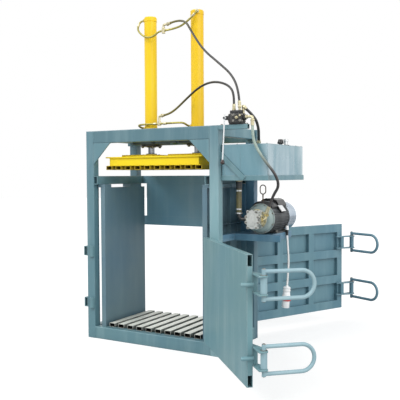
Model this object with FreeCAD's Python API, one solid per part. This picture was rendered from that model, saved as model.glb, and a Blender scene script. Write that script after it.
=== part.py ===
import FreeCAD, Part
import math
import os

V = FreeCAD.Vector

# Baling press: a welded frame with two upright cylinders, a platen, doors front and rear, and a
# power pack on its right side. Millimetres. The origin is on the floor at the centre of the
# frame's footprint; +X runs to the right seen from the front, +Y to the rear, +Z up.

# frame
frame_width = 1455.0
frame_depth = 787.0
frame_height = 2000.0
post_width = 90.0
post_depth = 80.0
post_wall = 6.0
beam_height = 116.0
rear_beam_overhang = 25.0
sill_height = 115.0
gusset_leg = 200.0
gusset_thickness = 12.0
corner_radius = 7.0

# rails at the sides, and the rear panel
rail_width = 45.0
rail_drop = 510.0          # from the frame's top to the rails' underside
rail_height = 80.0
rail_wall = 6.0
top_rail_width = 70.0
top_rail_height = 90.0
panel_above_door = 16.0
panel_strip_height = 94.0
panel_depth = 40.0
panel_sheet = 5.0

# chamber walls and floor
wall_gap = 47.0            # between a post and the chamber wall beside it
wall_thickness = 49.0
wall_sheet = 6.0
wall_below_rail = 30.0
slat_count = 10
slat_width = 65.0
slat_height = 39.0
slat_wall = 4.0
slat_end_gap = 32.0        # between the last slat and the wall beside it
bearer_width = 60.0

# cylinders and platen
cylinder_spacing = 532.0
cylinder_y = 46.5
barrel_radius = 61.0
bore_radius = 50.0
rod_radius = 32.5
running_clearance = 0.06
barrel_top = 3080.0
cap_height = 45.0
seat_thickness = 25.0
gland_flange_radius = 106.0
gland_flange_thickness = 20.0
cylinder_beam_width = 60.0
cylinder_beam_height = 90.0
platen_drop = 250.0        # from the frame's top to the platen's
platen_box_height = 84.0
platen_side_gap = 39.0     # between the platen and the wall beside it
platen_front_gap = 60.0
platen_rear_gap = 87.0
platen_plate = 8.0
channel_overhang = 27.25   # of the outer channels past the platen
rod_flange_side = 200.0
rod_flange_thickness = 15.0

# doors; t runs from the hinge edge to the free edge and w from the inner face outwards
door_hinge_gap = 3.0
door_peg_gap = 36.0
door_thickness = 42.0
door_sheet = 3.0
door_proud = 1.0
door_bottom = 134.0
door_top = 1040.0
door_rail_height = 85.0
door_stile = 80.0
door_free_stile = 68.0
door_wall = 4.0
door_member_web = 4.0
door_rib_width = 70.0
front_open = 133.5
rear_open = 116.0
hinge_axis_inset = 14.0    # from the post's inner face
hinge_axis_out = 18.0      # in front of the post's face
hinge_radius = 16.0
hinge_pin_radius = 8.0
hinge_half = 50.0
hinge_heights = (240.0, 587.0, 934.0)

# latches
latch_heights = (845.0, 345.0)
ear_gap = 112.0
ear_thickness = 11.0
ear_reach = 135.0          # past the free edge
latch_axis_past_edge = 104.0
latch_axis_w = 86.0
latch_bar_radius = 23.0
latch_pin_radius = 15.0
handle_rod_radius = 14.0
handle_half_width = 92.0
handle_reach = 372.0
peg_radius = 15.0
peg_length = 90.0
keeper_radius = 26.0

# power pack
tank_gap = 6.0
tank_right = 1166.5
tank_front = -343.5
tank_rear = 394.0
tank_drop = 165.0          # from the frame's top to the tank's lid
tank_height = 302.0
tank_wall = 4.0
lid_thickness = 5.0
cradle_wall = 6.0
cradle_height = 43.0
motor_x = 967.5
motor_below_tank = 345.0
motor_radius = 125.0
motor_front = 20.0
motor_rear = 330.0
fin_count = 32
fin_height = 10.0
flange_radius = 134.0
fan_cover_radius = 134.0
fan_cover_rear = 456.0
shaft_radius = 14.0
shelf_front = -93.5
shelf_height = 60.0
shelf_plate = 6.0
foot_thickness = 14.0
foot_offset = 82.0
foot_width = 46.0
pump_front = -235.0
pump_flange_front = -120.0
pump_flange_rear = -105.0
bolt_hole = 8.6
bolt_radius = 8.0
bolt_head = 12.0
nut_length = 12.0

# valve
arm_side = 40.0
arm_right = 1005.0
valve_left = 838.0
valve_right = 958.0
valve_inset = 19.5         # of its middle from the frame's front
valve_height = 90.0
spool_height = 52.0
elbow_height = 60.0
lever_proud = 44.0         # of the valve's middle
lever_pivot_x = 802.0
lever_pivot_height = 55.0
lever_end_x = 783.0
lever_end_drop = 296.0

# hoses, pipes and cord
line_radius = 10.0
pack_hose_radius = 12.0
pipe_radius = 9.0
cord_radius = 9.0
lower_port_height = 42.0   # above the frame's top
upper_port_rise = 20.0     # above the barrels' top
upper_port_headings = ((-1.0, 0.0, 0.0), (0.5, -math.sqrt(3) / 2, 0.0))
tee_reach = 20.0
upper_elbow_rise = 56.0    # of an elbow's corner above its tee
lower_elbow_rise = 80.0
suction_x = 823.5
suction_y = -193.5
suction_end_drop = 78.0    # of the suction hose's top under the tank
suction_bend_rise = 60.0   # of its lower end above the pump's middle

half_width = frame_width / 2
half_depth = frame_depth / 2
post_inner = half_width - post_width
post_back = half_depth - post_depth
beam_bottom = frame_height - beam_height
wall_outer = post_inner - wall_gap
wall_inner = wall_outer - wall_thickness
door_width = 2 * post_inner - door_hinge_gap - door_peg_gap
door_hinge_edge = post_inner - door_hinge_gap
door_outside = -half_depth - door_proud
door_inside = door_outside + door_thickness
hinge_axis_y = -half_depth - hinge_axis_out
hinge_axis_x = post_inner + hinge_axis_inset
slat_top = sill_height + slat_height
slat_pitch = (2 * (wall_inner - slat_end_gap) - slat_width) / (slat_count - 1)
seat_bottom = frame_height - 10.0 - cylinder_beam_height - seat_thickness
gland_bottom = seat_bottom - gland_flange_thickness
cylinder_xs = (-cylinder_spacing / 2, cylinder_spacing / 2)
rail_bottom = frame_height - rail_drop
wall_top = rail_bottom - wall_below_rail
panel_bottom = door_top + panel_above_door
platen_top = frame_height - platen_drop
platen_width = 2 * (wall_inner - platen_side_gap)
platen_front = -half_depth + platen_front_gap
platen_rear = half_depth - platen_rear_gap
channel_pitch = (platen_width + 2 * channel_overhang - slat_width) / (slat_count - 1)
tank_top = frame_height - tank_drop
tank_bottom = tank_top - tank_height
motor_z = tank_bottom - motor_below_tank
shelf_top = motor_z - 138.0
valve_y = -half_depth + valve_inset
valve_top = frame_height + valve_height
spool_z = frame_height + spool_height
lever_y = valve_y - lever_proud
lever_pivot = (lever_pivot_x, frame_height + lever_pivot_height)
lever_end = (lever_end_x, frame_height - lever_end_drop)
lower_port_z = frame_height + lower_port_height
upper_port_z = barrel_top + upper_port_rise
lower_tee = (-115.0, -34.0, frame_height + 72.0)
upper_tee = (-50.0, -49.0, barrel_top - 128.0)
suction_top = tank_bottom - suction_end_drop
suction_bottom = motor_z + suction_bend_rise


def lifted(level, points):
    """Route points whose heights are given from a level."""
    return [(x, y, level + z) for x, y, z in points]


upper_hose_route = (lifted(barrel_top, [(40, -62, -68), (208, -98, -48), (312, -126, -200)])
                    + lifted(frame_height, [(452, -168, 703), (648, -236, 558), (806, -294, 438),
                                            (905, -362, 300), (920, valve_y, 194)]))
lower_hose_route = lifted(frame_height, [(870, valve_y, 172), (870, -372, 258), (815, -347, 330),
                                         (700, -295, 378), (560, -228, 398), (400, -155, 372), (230, -85, 290),
                                         (90, -48, 203), (0, -37, 160), (-57, -34, 152)])
pressure_hose_route = (lifted(frame_height, [(1047, -384, -15), (1047, -383, -120), (1092, -378, -220),
                                             (1170, -376, -328)])
                       + lifted(motor_z, [(1238, -345, 390), (1240, -275, 292), (1155, -210, 212),
                                          (1110, -193, 117)]))
return_hose_route = (lifted(frame_height, [(966, -335, 128), (1036, -308, 60), (1047, -265, -32)])
                     + lifted(tank_top, [(1030, -226, 70), (1021, -207, 38)]))
cord_route = lifted(shelf_top, [(1088, 256, 0), (1094, 254, -120), (1104, 256, -250), (1098, 257, -370),
                                (1089, 256, -485)])

X, Y, Z = V(1, 0, 0), V(0, 1, 0), V(0, 0, 1)


def span(centre, size):
    return (centre - size / 2, centre + size / 2)


def box(x, y, z):
    corner = V(min(x), min(y), min(z))
    return Part.makeBox(abs(x[1] - x[0]), abs(y[1] - y[0]), abs(z[1] - z[0]), corner)


def along(shape, axis):
    """Straight edges of a shape that run along an axis."""
    found = []
    for edge in shape.Edges:
        if isinstance(edge.Curve, Part.Line) and abs(edge.tangentAt(edge.FirstParameter).dot(axis)) > 0.999:
            found.append(edge)
    return found


def bar(x, y, z, axis, radius=corner_radius):
    block = box(x, y, z)
    return block.makeFillet(radius, along(block, axis))


def tube(x, y, z, axis, wall, radius=corner_radius, inner=None):
    """Rectangular hollow section; inner gives the hollow's ends, past both faces unless stated."""
    spans = []
    for limits, direction in zip((x, y, z), (X, Y, Z)):
        if direction == axis:
            spans.append(inner or (min(limits) - 1, max(limits) + 1))
        else:
            spans.append((min(limits) + wall, max(limits) - wall))
    return bar(x, y, z, axis, radius).cut(box(*spans))


def place(shape, point, axis):
    """Move a shape built along +Z from the origin so that it runs from a point along an axis."""
    shape.Placement = FreeCAD.Placement(V(*point), FreeCAD.Rotation(Z, V(*axis)))
    return shape


def disc(point, axis, radius, length):
    return place(Part.makeCylinder(radius, length), point, axis)


def turned(profile, point, axis):
    """Solid of revolution of (radius, height) points."""
    corners = [V(radius, 0, height) for radius, height in profile]
    face = Part.Face(Part.makePolygon(corners + corners[:1]))
    return place(face.revolve(V(0, 0, 0), Z, 360), point, axis)


def hex_bar(point, axis, flats, length):
    corner = flats / math.sqrt(3)
    angles = [math.radians(60 * side) for side in range(7)]
    face = Part.Face(Part.makePolygon([V(corner * math.cos(a), corner * math.sin(a), 0) for a in angles]))
    return place(face.extrude(Z * length), point, axis)


def prism(points, push):
    corners = [V(*point) for point in points]
    return Part.Face(Part.makePolygon(corners + corners[:1])).extrude(V(*push))


def fuse(shapes):
    return shapes[0].multiFuse(shapes[1:]).removeSplitter() if len(shapes) > 1 else shapes[0]


def both_sides(shape):
    return [shape, shape.mirror(V(0, 0, 0), X)]


def front_and_rear(shape):
    return [shape, shape.mirror(V(0, 0, 0), Y)]


def route(points, corner_bend):
    """Straight runs joined by tangent arcs. corner_bend gives a corner's radius from the shorter run
    beside it and half its turn."""
    points = [V(*point) for point in points]
    edges = []
    radii = []
    start = points[0]
    for before, corner, after in zip(points, points[1:], points[2:]):
        arrive = (corner - before).normalize()
        leave = (after - corner).normalize()
        half_turn = arrive.getAngle(leave) / 2
        shorter = min((corner - before).Length, (after - corner).Length)
        radius = corner_bend(shorter, half_turn)
        reach = radius * math.tan(half_turn)
        sag = radius / math.cos(half_turn) - radius
        entry = corner - arrive * reach
        leaving = corner + leave * reach
        middle = corner + (leave - arrive).normalize() * sag
        edges.append(Part.LineSegment(start, entry).toShape())
        edges.append(Part.Arc(entry, middle, leaving).toShape())
        radii.append(radius)
        start = leaving
    edges.append(Part.LineSegment(start, points[-1]).toShape())
    return Part.Wire(edges), radii


def swept(wire, radius):
    first = wire.Edges[0]
    start = first.valueAt(first.FirstParameter)
    circle = Part.makeCircle(radius, start, first.tangentAt(first.FirstParameter))
    return wire.makePipeShell([Part.Wire(circle)], True, False)


def hose(name, points, radius):
    """Hose or cord along its route, each corner as round as its runs allow."""
    wire, radii = route(points, lambda shorter, half_turn: 0.45 * shorter / math.tan(half_turn))
    tightest = min(radii)
    diameters = tightest / (2 * radius)
    print(f"{name}: length {wire.Length:.0f}, tightest radius {tightest:.0f}, {diameters:.1f} diameters")
    return swept(wire, radius)


def pipe(points, bend, radius=pipe_radius):
    return swept(route(points, lambda shorter, half_turn: bend)[0], radius)


def direction(first, second):
    return tuple((V(*second) - V(*first)).normalize())


def step(point, heading, distance):
    return tuple(V(*point) + V(*heading) * distance)


# ---- frame ----

def post(x, y, top):
    return tube(x, y, (0, top), Z, post_wall, inner=(-1, top - post_wall))


def front_posts():
    x = (-half_width, -post_inner)
    return both_sides(post(x, (-half_depth, -post_back), frame_height))


def rear_posts():
    x = (-half_width, -post_inner)
    return both_sides(post(x, (post_back, half_depth), beam_bottom))


def top_beams():
    z = (beam_bottom, frame_height)
    front = tube((-post_inner, post_inner), (-half_depth, -post_back), z, X, post_wall)
    end = half_width + rear_beam_overhang
    rear = tube((-end, end), (post_back, half_depth), z, X, post_wall, inner=(-end + post_wall, end - post_wall))
    return [front, rear]


def base_frame():
    z = (0, sill_height)
    front = tube((-post_inner, post_inner), (-half_depth, -post_back), z, X, post_wall)
    side = tube((-half_width, -post_inner), (-post_back, post_back), z, Y, post_wall)
    return front_and_rear(front) + both_sides(side)


def side_rails():
    """Channels inside the posts, open outwards, and tubes that tie the top beams together."""
    x = (-post_inner, -post_inner + rail_width)
    y = (-half_depth, half_depth - panel_depth)
    z = (rail_bottom, rail_bottom + rail_height)
    channel = bar(x, y, z, Y, 3.0)
    pocket = box((x[0] - 1, x[1] - rail_wall), (y[0] - 1, y[1] + 1), (z[0] + rail_wall, z[1] - rail_wall))
    top = tube((-half_width, -half_width + top_rail_width), (-post_back, post_back),
               (frame_height - top_rail_height, frame_height), Y, post_wall)
    return both_sides(channel.cut(pocket)) + both_sides(top)


def corner_gussets():
    y = -half_depth
    corners = [(-post_inner, y, beam_bottom), (-post_inner + gusset_leg, y, beam_bottom),
               (-post_inner, y, beam_bottom - gusset_leg)]
    gusset = prism(corners, (0, gusset_thickness, 0))
    return [piece for side in both_sides(gusset) for piece in front_and_rear(side)]


def side_wall():
    """Left chamber wall: a ribbed tray, flat towards the chamber, hung from the rail by two spacers."""
    x = (-wall_outer, -wall_inner)
    y = (door_inside + 5.0, post_back - 1.0)
    z = (sill_height, wall_top)
    wall = box(x, y, z)
    columns, rows = 3, 4
    wide = (y[1] - y[0] - wall_sheet) / columns
    tall = (z[1] - z[0] - wall_sheet) / rows
    for column in range(columns):
        for row in range(rows):
            y0 = y[0] + wall_sheet + column * wide
            z0 = z[0] + wall_sheet + row * tall
            pocket = box((x[0] - 1, x[1] - wall_sheet), (y0, y0 + wide - wall_sheet), (z0, z0 + tall - wall_sheet))
            wall = wall.cut(pocket)
    spacers = []
    for y0, y1 in ((y[0] + 3.0, y[0] + 103.0), (56.0, 256.0)):
        spacers.append(box((-post_inner + 8.0, -wall_inner), (y0, y1), (wall_top, rail_bottom)))
    return [wall] + spacers


def right_wall():
    return [piece.mirror(V(0, 0, 0), X) for piece in side_wall()]


def rear_upper_panel():
    """Sheet between two cross rails, stiffened by a folded edge at each side."""
    x = (-post_inner, post_inner)
    y = (half_depth - panel_depth, half_depth)
    strip_top = panel_bottom + panel_strip_height
    rail_top = rail_bottom + rail_height
    upper = tube(x, y, (rail_bottom, rail_top), X, panel_sheet, 3.0)
    lower = tube(x, y, (panel_bottom, strip_top), X, panel_sheet, 3.0)
    edge = wall_inner - 1.0
    sheet = box((-edge, edge), (y[0], y[0] + panel_sheet), (strip_top, rail_bottom))
    folds = both_sides(box((-edge, -edge + panel_sheet), (y[0], y[1] - 2.0), (strip_top, rail_bottom)))
    return fuse([upper, lower, sheet] + folds)


def row_of_tubes(pitch, y, z):
    tubes = []
    for number in range(slat_count):
        centre = (number - (slat_count - 1) / 2) * pitch
        tubes.append(tube(span(centre, slat_width), y, z, Y, slat_wall, 3.0))
    return tubes


def floor_slats():
    return row_of_tubes(slat_pitch, (-post_back - 20.0, post_back + 30.0), (sill_height, slat_top))


def floor_bearers():
    bearers = []
    for centre in (-200.0, 0.0, 200.0):
        bearers.append(tube((-post_inner, post_inner), span(centre, bearer_width), (0, sill_height), X, post_wall))
    return bearers


# ---- cylinders and platen ----

def gland_bolt_places(x):
    places = []
    for turn in (45, 135, 225, 315):
        reach = gland_flange_radius - 20.0
        angle = math.radians(turn)
        places.append((x + reach * math.cos(angle), cylinder_y + reach * math.sin(angle)))
    return places


def cylinder_beams():
    beams = []
    for x in cylinder_xs:
        seat = box(span(x, 280.0), span(cylinder_y, 260.0), (seat_bottom, seat_bottom + seat_thickness))
        seat = seat.cut(disc((x, cylinder_y, seat_bottom - 1), (0, 0, 1), barrel_radius + 0.5, seat_thickness + 2))
        for bolt_x, bolt_y in gland_bolt_places(x):
            seat = seat.cut(disc((bolt_x, bolt_y, seat_bottom - 1), (0, 0, 1), bolt_hole, seat_thickness + 2))
        pair = [seat]
        for side in (-1, 1):
            beam_x = span(x + side * 110.0, cylinder_beam_width)
            z = (seat_bottom + seat_thickness, seat_bottom + seat_thickness + cylinder_beam_height)
            pair.append(tube(beam_x, (-post_back, post_back), z, Y, post_wall))
        beams.append(fuse(pair))
    return beams


def cylinder_barrels():
    barrels = []
    for x in cylinder_xs:
        barrel = disc((x, cylinder_y, seat_bottom), (0, 0, 1), barrel_radius, barrel_top - seat_bottom)
        barrel = barrel.cut(disc((x, cylinder_y, seat_bottom - 1), (0, 0, 1), bore_radius, barrel_top))
        port = (x - barrel_radius + 3.0, cylinder_y, lower_port_z)
        boss = disc(port, (-1, 0, 0), 17.0, 13.0)
        barrel = barrel.fuse(boss.cut(disc((x, cylinder_y, seat_bottom), (0, 0, 1), barrel_radius - 1, 500.0)))
        barrels.append(barrel.removeSplitter())
    return barrels


def upper_port(side, reach):
    return step((cylinder_xs[side], cylinder_y, upper_port_z), upper_port_headings[side], reach)


def cylinder_caps():
    """Caps with a low dome, a spigot in the bore and a port boss at the side."""
    caps = []
    spigot = 15.0
    for side, x in enumerate(cylinder_xs):
        outer = barrel_radius + 2.0
        profile = [(0, -spigot), (bore_radius, -spigot), (bore_radius, 0), (outer, 0), (outer, cap_height - 14.0),
                   (outer - 6.0, cap_height - 5.0), (outer - 24.0, cap_height - 1.0), (0, cap_height)]
        cap = turned(profile, (x, cylinder_y, barrel_top), (0, 0, 1))
        boss = disc(upper_port(side, outer - 8.0), upper_port_headings[side], 15.0, 18.0)
        caps.append(cap.fuse(boss).removeSplitter())
    return caps


def cylinder_glands():
    glands = []
    for x in cylinder_xs:
        bottom = (x, cylinder_y, gland_bottom)
        neck_top = seat_bottom + 40.0 - gland_bottom
        profile = [(rod_radius + running_clearance, 0), (gland_flange_radius - 3, 0), (gland_flange_radius, 3),
                   (gland_flange_radius, gland_flange_thickness), (bore_radius, gland_flange_thickness),
                   (bore_radius, neck_top), (rod_radius + running_clearance, neck_top)]
        gland = turned(profile, bottom, (0, 0, 1))
        for bolt_x, bolt_y in gland_bolt_places(x):
            gland = gland.cut(disc((bolt_x, bolt_y, gland_bottom - 1), (0, 0, 1), bolt_hole, 60.0))
        glands.append(gland)
    return glands


def bolt(head, heading, length, size=bolt_radius):
    """Hexagon head outside a face and a shank into it."""
    outside = step(head, heading, -bolt_head)
    return fuse([hex_bar(outside, heading, size * 3.0, bolt_head), disc(head, heading, size, length)])


def machine_bolts():
    bolts = []
    for x in cylinder_xs:
        for bolt_x, bolt_y in gland_bolt_places(x):
            length = gland_flange_thickness + seat_thickness
            bolts.append(bolt((bolt_x, bolt_y, gland_bottom), (0, 0, 1), length))
    for x, y in foot_bolt_places():
        bolts.append(bolt((x, y, shelf_top + foot_thickness), (0, 0, -1), foot_thickness + shelf_plate))
    for x, z in pump_lobes():
        bolts.append(hex_bar((motor_x + x, pump_front, motor_z + z), (0, -1, 0), 15.0, 8.0))
    return bolts


def platen():
    """Fabricated box: an overhanging top plate, deep sides and ribs, open below."""
    x = (-platen_width / 2, platen_width / 2)
    y = (platen_front, platen_rear)
    z = (platen_top - platen_box_height, platen_top)
    under = z[1] - platen_plate
    lip = 8.0
    body = box((x[0] + lip, x[1] - lip), (y[0] + lip, y[1] - lip), (z[0], under + 1))
    columns, rows = 4, 2
    wide = (x[1] - x[0] - 2 * lip - platen_plate) / columns
    deep = (y[1] - y[0] - 2 * lip - platen_plate) / rows
    for column in range(columns):
        for row in range(rows):
            x0 = x[0] + lip + platen_plate + column * wide
            y0 = y[0] + lip + platen_plate + row * deep
            pocket = box((x0, x0 + wide - platen_plate), (y0, y0 + deep - platen_plate), (z[0] + platen_plate, under))
            body = body.cut(pocket)
    return fuse([body, bar(x, y, (under, z[1]), Z, 6.0)])


def platen_channels():
    top = platen_top - platen_box_height
    return row_of_tubes(channel_pitch, (platen_front, platen_rear), (top - slat_height + 1.0, top))


def rod_flanges():
    flanges = []
    for x in cylinder_xs:
        z = (platen_top, platen_top + rod_flange_thickness)
        flanges.append(bar(span(x, rod_flange_side), span(cylinder_y, rod_flange_side), z, Z, 10.0))
    return flanges


def piston_rods():
    rods = []
    for x in cylinder_xs:
        bottom = platen_top + rod_flange_thickness
        crown = barrel_top - 20.0 - bottom
        piston = crown - 50.0
        piston_radius = bore_radius - running_clearance
        profile = [(0, 0), (rod_radius, 0), (rod_radius, piston), (piston_radius, piston), (piston_radius, crown),
                   (0, crown)]
        rods.append(turned(profile, (x, cylinder_y, bottom), (0, 0, 1)))
    return rods


# ---- doors, built shut at the front ----

def door_box(t, w, z):
    x = (door_hinge_edge - t[0], door_hinge_edge - t[1])
    return box(x, (door_inside - w[0], door_inside - w[1]), z)


def hang(shapes, side):
    """Bring pieces built on the shut front door to their own door, open as it stands."""
    hung = []
    for shape in shapes:
        if side == "rear":
            shape = shape.mirror(V(0, 0, 0), Y)
            shape.rotate(V(hinge_axis_x, -hinge_axis_y, 0), Z, -rear_open)
        else:
            shape = shape.copy()
            shape.rotate(V(hinge_axis_x, hinge_axis_y, 0), Z, front_open)
        hung.append(shape)
    return hung


def door_rails():
    """Heights of the four cross rails, from the bottom."""
    step_up = (door_top - door_bottom - door_rail_height) / 3
    return [(door_bottom + n * step_up, door_bottom + n * step_up + door_rail_height) for n in range(4)]


def door_frame():
    """Tubes along the top and bottom, open at their ends, and folded channels between them."""
    w = (door_sheet, door_thickness)
    rails = door_rails()
    members = [door_box((0, door_width), w, rails[0]), door_box((0, door_width), w, rails[3])]
    pockets = []
    inside = (door_sheet + door_wall, door_thickness - door_wall)
    for low, high in (rails[0], rails[3]):
        pockets.append(door_box((-1, door_width + 1), inside, (low + door_wall, high - door_wall)))
    between = (rails[0][1], rails[3][0])
    open_side = (door_sheet - 1, door_thickness - door_member_web)
    uprights = [(0, door_stile), (door_width - door_free_stile, door_width)]
    for centre in (0.295 * door_width, 0.638 * door_width):
        uprights.append(span(centre, door_rib_width))
    for t in uprights:
        members.append(door_box(t, w, between))
        pockets.append(door_box((t[0] + door_wall, t[1] - door_wall), open_side, between))
    bays = (door_stile, door_width - door_free_stile)
    for low, high in rails[1:3]:
        members.append(door_box(bays, w, (low, high)))
        pockets.append(door_box(bays, open_side, (low + door_wall, high - door_wall)))
    frame = fuse(members)
    for pocket in pockets:
        frame = frame.cut(pocket)
    return [frame]


def door_skin():
    return [door_box((0, door_width), (0, door_sheet), (door_bottom, door_top))]


def latch_ear(z):
    """Plate with a rounded nose past the free edge, clear of the post's face."""
    clear = door_thickness + 1.5
    outline = [(door_width - 92, door_thickness), (door_width + 2, door_thickness), (door_width + 2, clear),
               (door_width + ear_reach, clear), (door_width + ear_reach, 109), (door_width + 40, 109),
               (door_width - 92, 62)]
    points = [(door_hinge_edge - t, door_inside - w, z) for t, w in outline]
    ear = prism(points, (0, 0, ear_thickness))
    nose = door_hinge_edge - door_width
    edges = [edge for edge in along(ear, Z) if edge.CenterOfMass.y < door_inside - 60]
    ear = ear.makeFillet(14.0, [edge for edge in edges if edge.CenterOfMass.x < nose])
    x, y = latch_axis()
    hole = disc((x, y, z - 1), (0, 0, 1), latch_pin_radius + running_clearance, ear_thickness + 2)
    return ear.cut(hole)


def latch_axis():
    return (door_hinge_edge - door_width - latch_axis_past_edge, door_inside - latch_axis_w)


def peg(z):
    """Round peg along the free edge, welded on by a narrow pad."""
    x = door_hinge_edge - door_width - peg_radius
    chamfer = 5.0
    profile = [(0, 0), (peg_radius, 0), (peg_radius, peg_length - chamfer), (peg_radius - chamfer, peg_length),
               (0, peg_length)]
    pad = box((x, x + peg_radius), (door_outside + 5, door_inside - 5), span(z, 16.0))
    return fuse([turned(profile, (x, door_outside, z), (0, 1, 0)), pad])


def hinge_strap(z):
    """Door half of a hinge: an upper barrel and a strap on the door's outer face."""
    barrel = disc((hinge_axis_x, hinge_axis_y, z + 0.5), (0, 0, 1), hinge_radius, hinge_half)
    y = (door_outside - 7.0, door_outside)
    strap = box((hinge_axis_x - 97.0, hinge_axis_x), y, (z + 0.5, z + 0.5 + hinge_half))
    bore = disc((hinge_axis_x, hinge_axis_y, z), (0, 0, 1), hinge_pin_radius + running_clearance, 60.0)
    return fuse([barrel, strap]).cut(bore)


def door_fittings():
    pieces = [hinge_strap(z) for z in hinge_heights]
    for z in latch_heights:
        pieces.append(latch_ear(z + ear_gap / 2))
        pieces.append(latch_ear(z - ear_gap / 2 - ear_thickness))
        block = door_box((door_width - 45, door_width - 7), (door_thickness, door_thickness + 38), span(z, ear_gap))
        pieces.append(block)
        pieces.append(peg(z - 7.0))
    return pieces


def latch_handle(z):
    """U-shaped handle with its pivot pins and the bar between the ears."""
    x, y = latch_axis()
    straight = handle_reach - handle_half_width - handle_rod_radius
    low, high = z - handle_half_width, z + handle_half_width
    bend = y - straight
    wire = Part.Wire([
        Part.LineSegment(V(x, y, low), V(x, bend, low)).toShape(),
        Part.Arc(V(x, bend, low), V(x, bend - handle_half_width, z), V(x, bend, high)).toShape(),
        Part.LineSegment(V(x, bend, high), V(x, y, high)).toShape()])
    pin_end = handle_half_width + handle_rod_radius + 2.0
    pin = disc((x, y, z - pin_end), (0, 0, 1), latch_pin_radius, 2 * pin_end)
    length = ear_gap - 1.0
    pivot_bar = disc((x, y, z - length / 2), (0, 0, 1), latch_bar_radius, length)
    return [fuse([swept(wire, handle_rod_radius), pin, pivot_bar])]


def hinge_posts():
    """Post halves of the hinges: a leaf on the post, a lower barrel and the pin through both."""
    halves = []
    for z in hinge_heights:
        leaf = box((hinge_axis_x, hinge_axis_x + 51.0), (-half_depth - 8.0, -half_depth), (z - hinge_half, z))
        barrel = disc((hinge_axis_x, hinge_axis_y, z - hinge_half), (0, 0, 1), hinge_radius, hinge_half)
        pin = disc((hinge_axis_x, hinge_axis_y, z - hinge_half), (0, 0, 1), hinge_pin_radius, 2 * hinge_half - 2.0)
        halves += front_and_rear(fuse([leaf, barrel, pin]))
    return halves


def latch_keepers():
    """A half-round bar on each left post's face and an open pocket at its side, level with each latch."""
    pieces = []
    for z in latch_heights:
        centre = -half_width + 62.0
        round_bar = disc((centre, -half_depth, z - 52.0), (0, 0, 1), keeper_radius, 104.0)
        behind = box(span(centre, 60.0), (-half_depth, -half_depth + 40.0), span(z, 120.0))
        pieces += front_and_rear(round_bar.cut(behind))
        x = (-half_width - 40.0, -half_width)
        y = (-half_depth, -half_depth + 60.0)
        pocket = tube(x, y, span(z, 92.0), Y, 6.0, 4.0, inner=(y[0] - 1, y[1] - 6.0))
        pieces += front_and_rear(pocket)
    return pieces


# ---- power pack ----

def oil_tank():
    """Folded box, open above, with a welded joint across its front and back."""
    x = (half_width + tank_gap, tank_right)
    y = (tank_front, tank_rear)
    z = (tank_bottom, tank_top - lid_thickness)
    outer = bar(x, y, z, Z, 10.0)
    inner = box((x[0] + tank_wall, x[1] - tank_wall), (y[0] + tank_wall, y[1] - tank_wall), (z[0] + tank_wall, z[1] + 1))
    joint_x = span(half_width + 185.0, 3.0)
    joint = box(joint_x, (y[0] - 1, y[1] + 1), (z[0] - 1, z[1] + 1))
    groove = joint.cut(box(joint_x, (y[0] + 1.2, y[1] - 1.2), (z[0] - 1, z[1] + 1)))
    return outer.cut(inner).cut(groove)


def tank_lid():
    x = (half_width + tank_gap, tank_right)
    return bar(x, (tank_front, tank_rear), (tank_top - lid_thickness, tank_top), Z, 10.0)


def tank_cradle():
    """Angle frame round the tank's foot, and a flat brace from the front post."""
    x = (half_width, tank_right + cradle_wall)
    y = (tank_front - cradle_wall, tank_rear + cradle_wall)
    bottom = tank_bottom - cradle_wall
    frame = box(x, y, (bottom, bottom + cradle_height))
    seat = box((x[0] + tank_gap, tank_right), (tank_front, tank_rear), (tank_bottom, bottom + cradle_height + 1))
    ledge = 40.0
    through = box((x[0] + tank_gap + ledge, tank_right - ledge), (tank_front + ledge, tank_rear - ledge),
                  (bottom - 1, tank_bottom + 1))
    face = y[0]
    brace = prism([(half_width, face, bottom + 253.0), (half_width, face, bottom + 187.0),
                   (half_width + 208.0, face, bottom), (half_width + 240.0, face, bottom + 29.0)], (0, -8.0, 0))
    return fuse([frame.cut(seat).cut(through), brace])


def breather_cap():
    profile = [(0, 0), (14, 0), (14, 12), (27, 16), (27, 28), (19, 55), (0, 55)]
    return turned(profile, (1087.5, 106.5, tank_top), (0, 0, 1))


def filler_cap():
    profile = [(0, 0), (16, 0), (16, 30), (21, 32), (21, 52), (17, 56), (0, 56)]
    return turned(profile, (1139.5, 106.5, tank_top), (0, 0, 1))


def motor_shelf():
    """Rail between the right posts, a folded plate for the motor and a longer angle along its front."""
    z = (shelf_top - shelf_height, shelf_top)
    rail = tube((half_width - 50.0, half_width), (-post_back, post_back), z, Y, 5.0, 5.0)
    right = motor_x + 106.0
    plate = box((half_width, right), (shelf_front, half_depth), z)
    under = box((half_width + shelf_plate, right - shelf_plate), (shelf_front + shelf_plate, half_depth - shelf_plate),
                (z[0] - 1, z[1] - shelf_plate))
    angle = box((half_width, tank_right + cradle_wall), (shelf_front, shelf_front + 50.0), z)
    corner = box((right - shelf_plate, tank_right + 50.0), (shelf_front + shelf_plate, shelf_front + 51.0),
                 (z[0] - 1, z[1] - shelf_plate))
    shelf = fuse([rail, plate.cut(under), angle.cut(under).cut(corner)])
    for x, y in foot_bolt_places():
        shelf = shelf.cut(disc((x, y, shelf_top + 1), (0, 0, -1), bolt_hole, 20.0))
    return shelf


def foot_bolt_places():
    return [(motor_x + side * (foot_offset + 6.0), y) for side in (-1, 1) for y in (85.0, 265.0)]


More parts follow.
